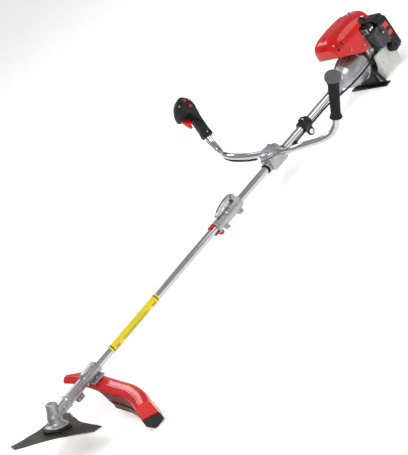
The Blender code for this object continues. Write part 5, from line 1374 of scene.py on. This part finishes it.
def build_engine_fittings():
    dark, cast = black_moulding(), blasted_casting()
    low, high = span("ignition_coil")
    coil = block("coil_potting", dark, low, high, 0.005, 5)
    cut(coil, rod("lead_seat", dark, LEAD_END - Z_AXIS * 0.0065, LEAD_END + Z_AXIS * 0.02, 0.0048, 24))
    sheets = []
    for i in range(3):
        left = low.x - 0.0035 + 0.0011 * i
        sheets.append(block("sheet", bright_steel(), (left, low.y + 0.004, low.z + 0.004),
                            (left + 0.0008, high.y - 0.004, high.z - 0.004), 0.0001, 1))
    bar = block("core_bar", bright_steel(), (low.x + 0.006, low.y - 0.0016, low.z + 0.008),
                (high.x - 0.006, low.y + 0.002, high.z - 0.011), 0.0006, 2)
    settle(gather("coil_pack", [coil, bar, *sheets]), "upper_unit", "black_plastic", "ignition_coil")

    low, high = span("carburettor")
    carb = block("carburettor_body", cast, (low.x, -0.0620, 0.0), (high.x, -0.0480, 0.0780), 0.0035, 4)
    join(carb, block("neck", cast, (1.6620, -0.0500, 0.0560), (1.6860, -0.0405, 0.0760), 0.002))
    spot = pivot_of_primer()
    cut(carb, rod("throat", cast, (CRANK_X, -0.10, 0.066), (CRANK_X, 0.0, 0.066), 0.0070, 40))
    cut(carb, rod("seat", cast, spot + Y_AXIS * 0.0055, spot - Y_AXIS * 0.010, 0.0084, 40))
    settle(carb, "upper_unit", "cast_aluminium", "carburettor")
    bulb = [(0.0, 0.0), (0.0, 0.0075), (0.0030, 0.0078), (0.0055, 0.0074), (0.0075, 0.0060),
            (0.0095, 0.0030), (0.0100, 0.0)]
    settle(turned("primer_dome", clear_bulb(), bulb, placement(spot, -Y_AXIS), 40, rounding=0.001),
           "primer_bulb", "ceramic", "primer_bulb")

    grey = grey_moulding()
    low, high = span("air_cleaner")
    cleaner = block("cleaner_box", grey, (low.x, low.y + 0.0030, low.z), (high.x, high.y, high.z), 0.005, 5)
    for i in range(7):
        x = low.x + 0.0070 + 0.0065 * i
        join(cleaner, block("louvre", grey, (x, low.y, low.z + 0.006),
                            (x + 0.0030, low.y + 0.008, high.z - 0.006), 0.0008, 2))
    settle(cleaner, "upper_unit", "grey_plastic", "air_cleaner")
    hinge = pivot("choke_lever_hinge")
    outline = [(-0.005, -0.005), (0.0280, -0.003), (0.0280, 0.003), (-0.005, 0.005)]
    placed = placement(hinge, -Y_AXIS, Z_AXIS)
    choke = slab("choke_arm", dark, outline, placed, 0.0, 0.0035, 0.0008, 0.0025)
    stud = hex_bolt(hinge - Y_AXIS * 0.0034, -Y_AXIS, 0.0028)
    settle(gather("choke_arm_and_stud", [choke, stud]), "choke_lever", "black_plastic", "choke_lever")

    hot = heat_stained()
    low, high = span("muffler")
    box = block("silencer", hot, (low.x, low.y, low.z), (high.x, 0.0850, high.z), 0.008, 6)
    join(box, block("flange_seam", hot, (low.x - 0.0014, 0.0630, low.z - 0.0014),
                    (high.x + 0.0014, 0.0655, high.z + 0.0014), 0.0010, 2))
    join(box, rod("outlet", hot, (1.6500, 0.080, 0.0560), (1.6500, 0.094, 0.0500), 0.0060, 40))
    cut(box, rod("outlet_bore", hot, (1.6500, 0.070, 0.0603), (1.6500, 0.110, 0.0431), 0.0045, 32))
    bolts = [socket_screw((x, 0.0846, z), Y_AXIS, 0.0036) for x, z in ((1.6640, 0.094), (1.6900, 0.060))]
    settle(gather("silencer_box", [box, *bolts]), "upper_unit", "steel", "muffler")


def pivot_of_primer():
    low, high = span("primer_bulb")
    return Vector(((low.x + high.x) / 2, high.y, (low.z + high.z) / 2))


def build_stand():
    low, high = span("engine_stand")
    middle = low.x + 0.018
    dark = black_moulding()
    arc = arc_points(32, 0.0595, -38.0, -142.0)
    outline = [(0.0600, -0.0366), *arc, (-0.0600, -0.0366), (-0.0820, -0.0970), (0.0820, -0.0970)]
    web = slab("stand_web", dark, outline, ACROSS, middle - 0.003, middle + 0.003, 0.0010)
    for side in (-1, 1):
        gap = [(side * y, z) for y, z in ((0.0540, -0.0480), (0.0700, -0.0890), (0.0440, -0.0890),
                                          (0.0400, -0.0580))]
        cut(web, slab("window", dark, gap, ACROSS, middle - 0.02, middle + 0.02, 0.0, 0.005), "MANIFOLD")
    join(web, block("foot", dark, low, (high.x, high.y, low.z + 0.0055), 0.0018, 4))
    settle(web, "upper_unit", "black_plastic", "engine_stand")


def dress_inner_parts():
    """The hidden machinery keeps its frame shapes and takes worked-metal finishes."""
    looks = {
        "crown_gear": turned_steel, "pinion_gear": turned_steel, "lower_drive_shaft": bright_steel,
        "upper_drive_shaft": bright_steel, "clutch_drum": turned_steel, "clutch_shoes": heat_stained,
        "crankcase": blasted_casting, "crankshaft": bright_steel, "flywheel": blasted_casting,
        "piston": bright_steel,
    }
    for name, look in looks.items():
        piece = frame["nodes"][name]
        piece.data.materials.clear()
        piece.data.materials.append(look())


# ---------------------------------------------------------------- stage


def area_light(name, at, aim, size, power):
    light = bpy.data.lights.new(name, "AREA")
    light.size = size
    light.energy = power
    made = bpy.data.objects.new(name, light)
    bpy.context.scene.collection.objects.link(made)
    made.location = at
    made.rotation_euler = (Vector(aim) - Vector(at)).to_track_quat("-Z", "Y").to_euler()


FLOOR_TONE = (0.92, 0.92, 0.92, 1.0)
FLOOR_GLOW = 0.42
STUDIO_STRENGTH = 0.40
# Name, place, point it is aimed at, size and power
STUDIO_LIGHTS = (
    ("key", (-1.4, -1.8, 3.2), (0.0, 0.0, 0.0), 1.6, 60.0),
    ("fill", (2.6, -1.6, 1.8), (0.2, 0.0, 0.0), 1.6, 16.0),
    ("rim", (0.6, 2.6, 2.6), (0.0, 0.0, 0.1), 1.6, 30.0),
)


# The camera's right, up and backward directions and the point it looks at, in the shaft frame
CAMERA_AXES = ((0.58123, -0.58690, -0.56367), (0.67410, -0.04073, 0.73751), (-0.45580, -0.80864, 0.37196))
CAMERA_AIM = Vector((0.5840, -0.3493, 0.1925))


def build_stage():
    shape = bmesh.new()
    bmesh.ops.create_grid(shape, x_segments=2, y_segments=2, size=40.0)
    pale = bpy.data.materials.new("pale_floor")
    pale.use_nodes = True
    shader = pale.node_tree.nodes["Principled BSDF"]
    shader.inputs["Base Color"].default_value = FLOOR_TONE
    shader.inputs["Emission Color"].default_value = (1.0, 1.0, 1.0, 1.0)
    shader.inputs["Emission Strength"].default_value = FLOOR_GLOW
    shader.inputs["Roughness"].default_value = 0.9
    floor = object_from("floor", shape, pale)
    floor.location.z = -0.0005

    world = bpy.data.worlds.new("studio")
    bpy.context.scene.world = world
    world.use_nodes = True
    background = world.node_tree.nodes["Background"]
    background.inputs["Color"].default_value = (1.0, 1.0, 1.0, 1.0)
    background.inputs["Strength"].default_value = STUDIO_STRENGTH
    bpy.context.scene.view_settings.view_transform = "Standard"
    for light in STUDIO_LIGHTS:
        area_light(*light)

    camera_data = bpy.data.cameras.new("camera")
    camera = bpy.data.objects.new("camera", camera_data)
    bpy.context.scene.collection.objects.link(camera)
    bpy.context.scene.camera = camera
    camera_data.sensor_fit = "AUTO"
    camera_data.sensor_width = 36.0
    camera_data.lens = sizes().camera_lens
    camera_data.clip_start, camera_data.clip_end = 0.05, 200.0
    camera.rotation_mode = "QUATERNION"
    right, up, back = (SHAFT.to_3x3() @ Vector(v) for v in CAMERA_AXES)
    camera.rotation_quaternion = Matrix((right, up, back)).transposed().to_quaternion()
    camera.location = SHAFT @ (CAMERA_AIM + Vector(CAMERA_AXES[2]) * sizes().camera_distance)


# ---------------------------------------------------------------- operators and panel


class CUTTER_OT_gear_head(bpy.types.Operator):
    """Casting, screws and bearing of the gear head"""

    bl_idname = "cutter.gear_head"
    bl_label = "Gear Head"

    def execute(self, context):
        build_gear_head()
        return {"FINISHED"}


class CUTTER_OT_blade(bpy.types.Operator):
    """Three-tooth blade with its flange, cup, nut and arbor"""

    bl_idname = "cutter.blade"
    bl_label = "Blade"

    def execute(self, context):
        build_blade()
        return {"FINISHED"}


class CUTTER_OT_guard(bpy.types.Operator):
    """Red guard, black skirt, saddle and screws"""

    bl_idname = "cutter.guard"
    bl_label = "Guard"

    def execute(self, context):
        build_guard()
        return {"FINISHED"}


class CUTTER_OT_shaft(bpy.types.Operator):
    """Both shaft tubes and the yellow band"""

    bl_idname = "cutter.shaft"
    bl_label = "Shaft"

    def execute(self, context):
        build_shaft()
        return {"FINISHED"}


class CUTTER_OT_coupler(bpy.types.Operator):
    """Coupler casting, lever, release knob and clip"""

    bl_idname = "cutter.coupler"
    bl_label = "Coupler"

    def execute(self, context):
        build_coupler()
        return {"FINISHED"}


class CUTTER_OT_handlebar(bpy.types.Operator):
    """Both bars and their clamp"""

    bl_idname = "cutter.handlebar"
    bl_label = "Handlebar"

    def execute(self, context):
        build_handlebar()
        return {"FINISHED"}


class CUTTER_OT_left_grip(bpy.types.Operator):
    """Ribbed rubber grip"""

    bl_idname = "cutter.left_grip"
    bl_label = "Left Grip"

    def execute(self, context):
        build_left_grip()
        return {"FINISHED"}


class CUTTER_OT_right_handle(bpy.types.Operator):
    """Throttle handle with its controls"""

    bl_idname = "cutter.right_handle"
    bl_label = "Right Handle"

    def execute(self, context):
        build_right_handle()
        return {"FINISHED"}


class CUTTER_OT_cable(bpy.types.Operator):
    """Throttle cable in two lengths with its sleeve"""

    bl_idname = "cutter.cable"
    bl_label = "Throttle Cable"

    def execute(self, context):
        build_cable()
        return {"FINISHED"}


class CUTTER_OT_hanger(bpy.types.Operator):
    """Clamp with the harness eye"""

    bl_idname = "cutter.hanger"
    bl_label = "Harness Hanger"

    def execute(self, context):
        build_hanger()
        return {"FINISHED"}


class CUTTER_OT_clutch_side(bpy.types.Operator):
    """Clutch bell and its screws"""

    bl_idname = "cutter.clutch_side"
    bl_label = "Clutch Side"

    def execute(self, context):
        build_clutch_side()
        return {"FINISHED"}


class CUTTER_OT_cylinder(bpy.types.Operator):
    """Finned cylinder, plug, cap and lead"""

    bl_idname = "cutter.cylinder"
    bl_label = "Cylinder"

    def execute(self, context):
        build_cylinder()
        return {"FINISHED"}


class CUTTER_OT_shroud(bpy.types.Operator):
    """Red engine hood"""

    bl_idname = "cutter.shroud"
    bl_label = "Engine Cover"

    def execute(self, context):
        build_shroud()
        return {"FINISHED"}


class CUTTER_OT_fan_and_starter(bpy.types.Operator):
    """Fan shell, starter case and pull grip"""

    bl_idname = "cutter.fan_and_starter"
    bl_label = "Fan and Starter"

    def execute(self, context):
        build_fan_and_starter()
        return {"FINISHED"}


class CUTTER_OT_fuel_system(bpy.types.Operator):
    """Milky tank and its cap"""

    bl_idname = "cutter.fuel_system"
    bl_label = "Fuel Tank"

    def execute(self, context):
        build_fuel_system()
        return {"FINISHED"}


class CUTTER_OT_fittings(bpy.types.Operator):
    """Coil, carburettor, air cleaner, choke and silencer"""

    bl_idname = "cutter.fittings"
    bl_label = "Engine Fittings"

    def execute(self, context):
        build_engine_fittings()
        return {"FINISHED"}


class CUTTER_OT_stand(bpy.types.Operator):
    """Black foot under the engine"""

    bl_idname = "cutter.stand"
    bl_label = "Engine Stand"

    def execute(self, context):
        build_stand()
        return {"FINISHED"}


class CUTTER_OT_inner_parts(bpy.types.Operator):
    """Finishes of the hidden machinery"""

    bl_idname = "cutter.inner_parts"
    bl_label = "Inner Parts"

    def execute(self, context):
        dress_inner_parts()
        return {"FINISHED"}


class CUTTER_OT_stage(bpy.types.Operator):
    """Floor, light and camera"""

    bl_idname = "cutter.stage"
    bl_label = "Stage"

    def execute(self, context):
        build_stage()
        return {"FINISHED"}


OPERATORS = (
    CUTTER_OT_gear_head, CUTTER_OT_blade, CUTTER_OT_guard, CUTTER_OT_shaft, CUTTER_OT_coupler,
    CUTTER_OT_handlebar, CUTTER_OT_left_grip, CUTTER_OT_right_handle, CUTTER_OT_cable, CUTTER_OT_hanger,
    CUTTER_OT_clutch_side, CUTTER_OT_cylinder, CUTTER_OT_shroud, CUTTER_OT_fan_and_starter,
    CUTTER_OT_fuel_system, CUTTER_OT_fittings, CUTTER_OT_stand, CUTTER_OT_inner_parts, CUTTER_OT_stage,
)


class CUTTER_PT_pieces(bpy.types.Panel):
    """Lists the steps that build the brush cutter"""

    bl_label = "Brush Cutter"
    bl_space_type = "VIEW_3D"
    bl_region_type = "UI"
    bl_category = "Cutter"

    def draw(self, context):
        for operator in OPERATORS:
            self.layout.operator(operator.bl_idname)


CLASSES = (CutterSizes, CutterColours, *OPERATORS, CUTTER_PT_pieces)


def register():
    for each in CLASSES:
        bpy.utils.register_class(each)
    bpy.types.Scene.cutter_sizes = PointerProperty(type=CutterSizes)
    bpy.types.Scene.cutter_colours = PointerProperty(type=CutterColours)


def unregister():
    del bpy.types.Scene.cutter_colours
    del bpy.types.Scene.cutter_sizes
    for each in reversed(CLASSES):
        bpy.utils.unregister_class(each)


def main():
    register()
    for operator in OPERATORS:
        getattr(bpy.ops.cutter, operator.bl_idname.split(".")[1])()


if __name__ == "__main__":
    main()
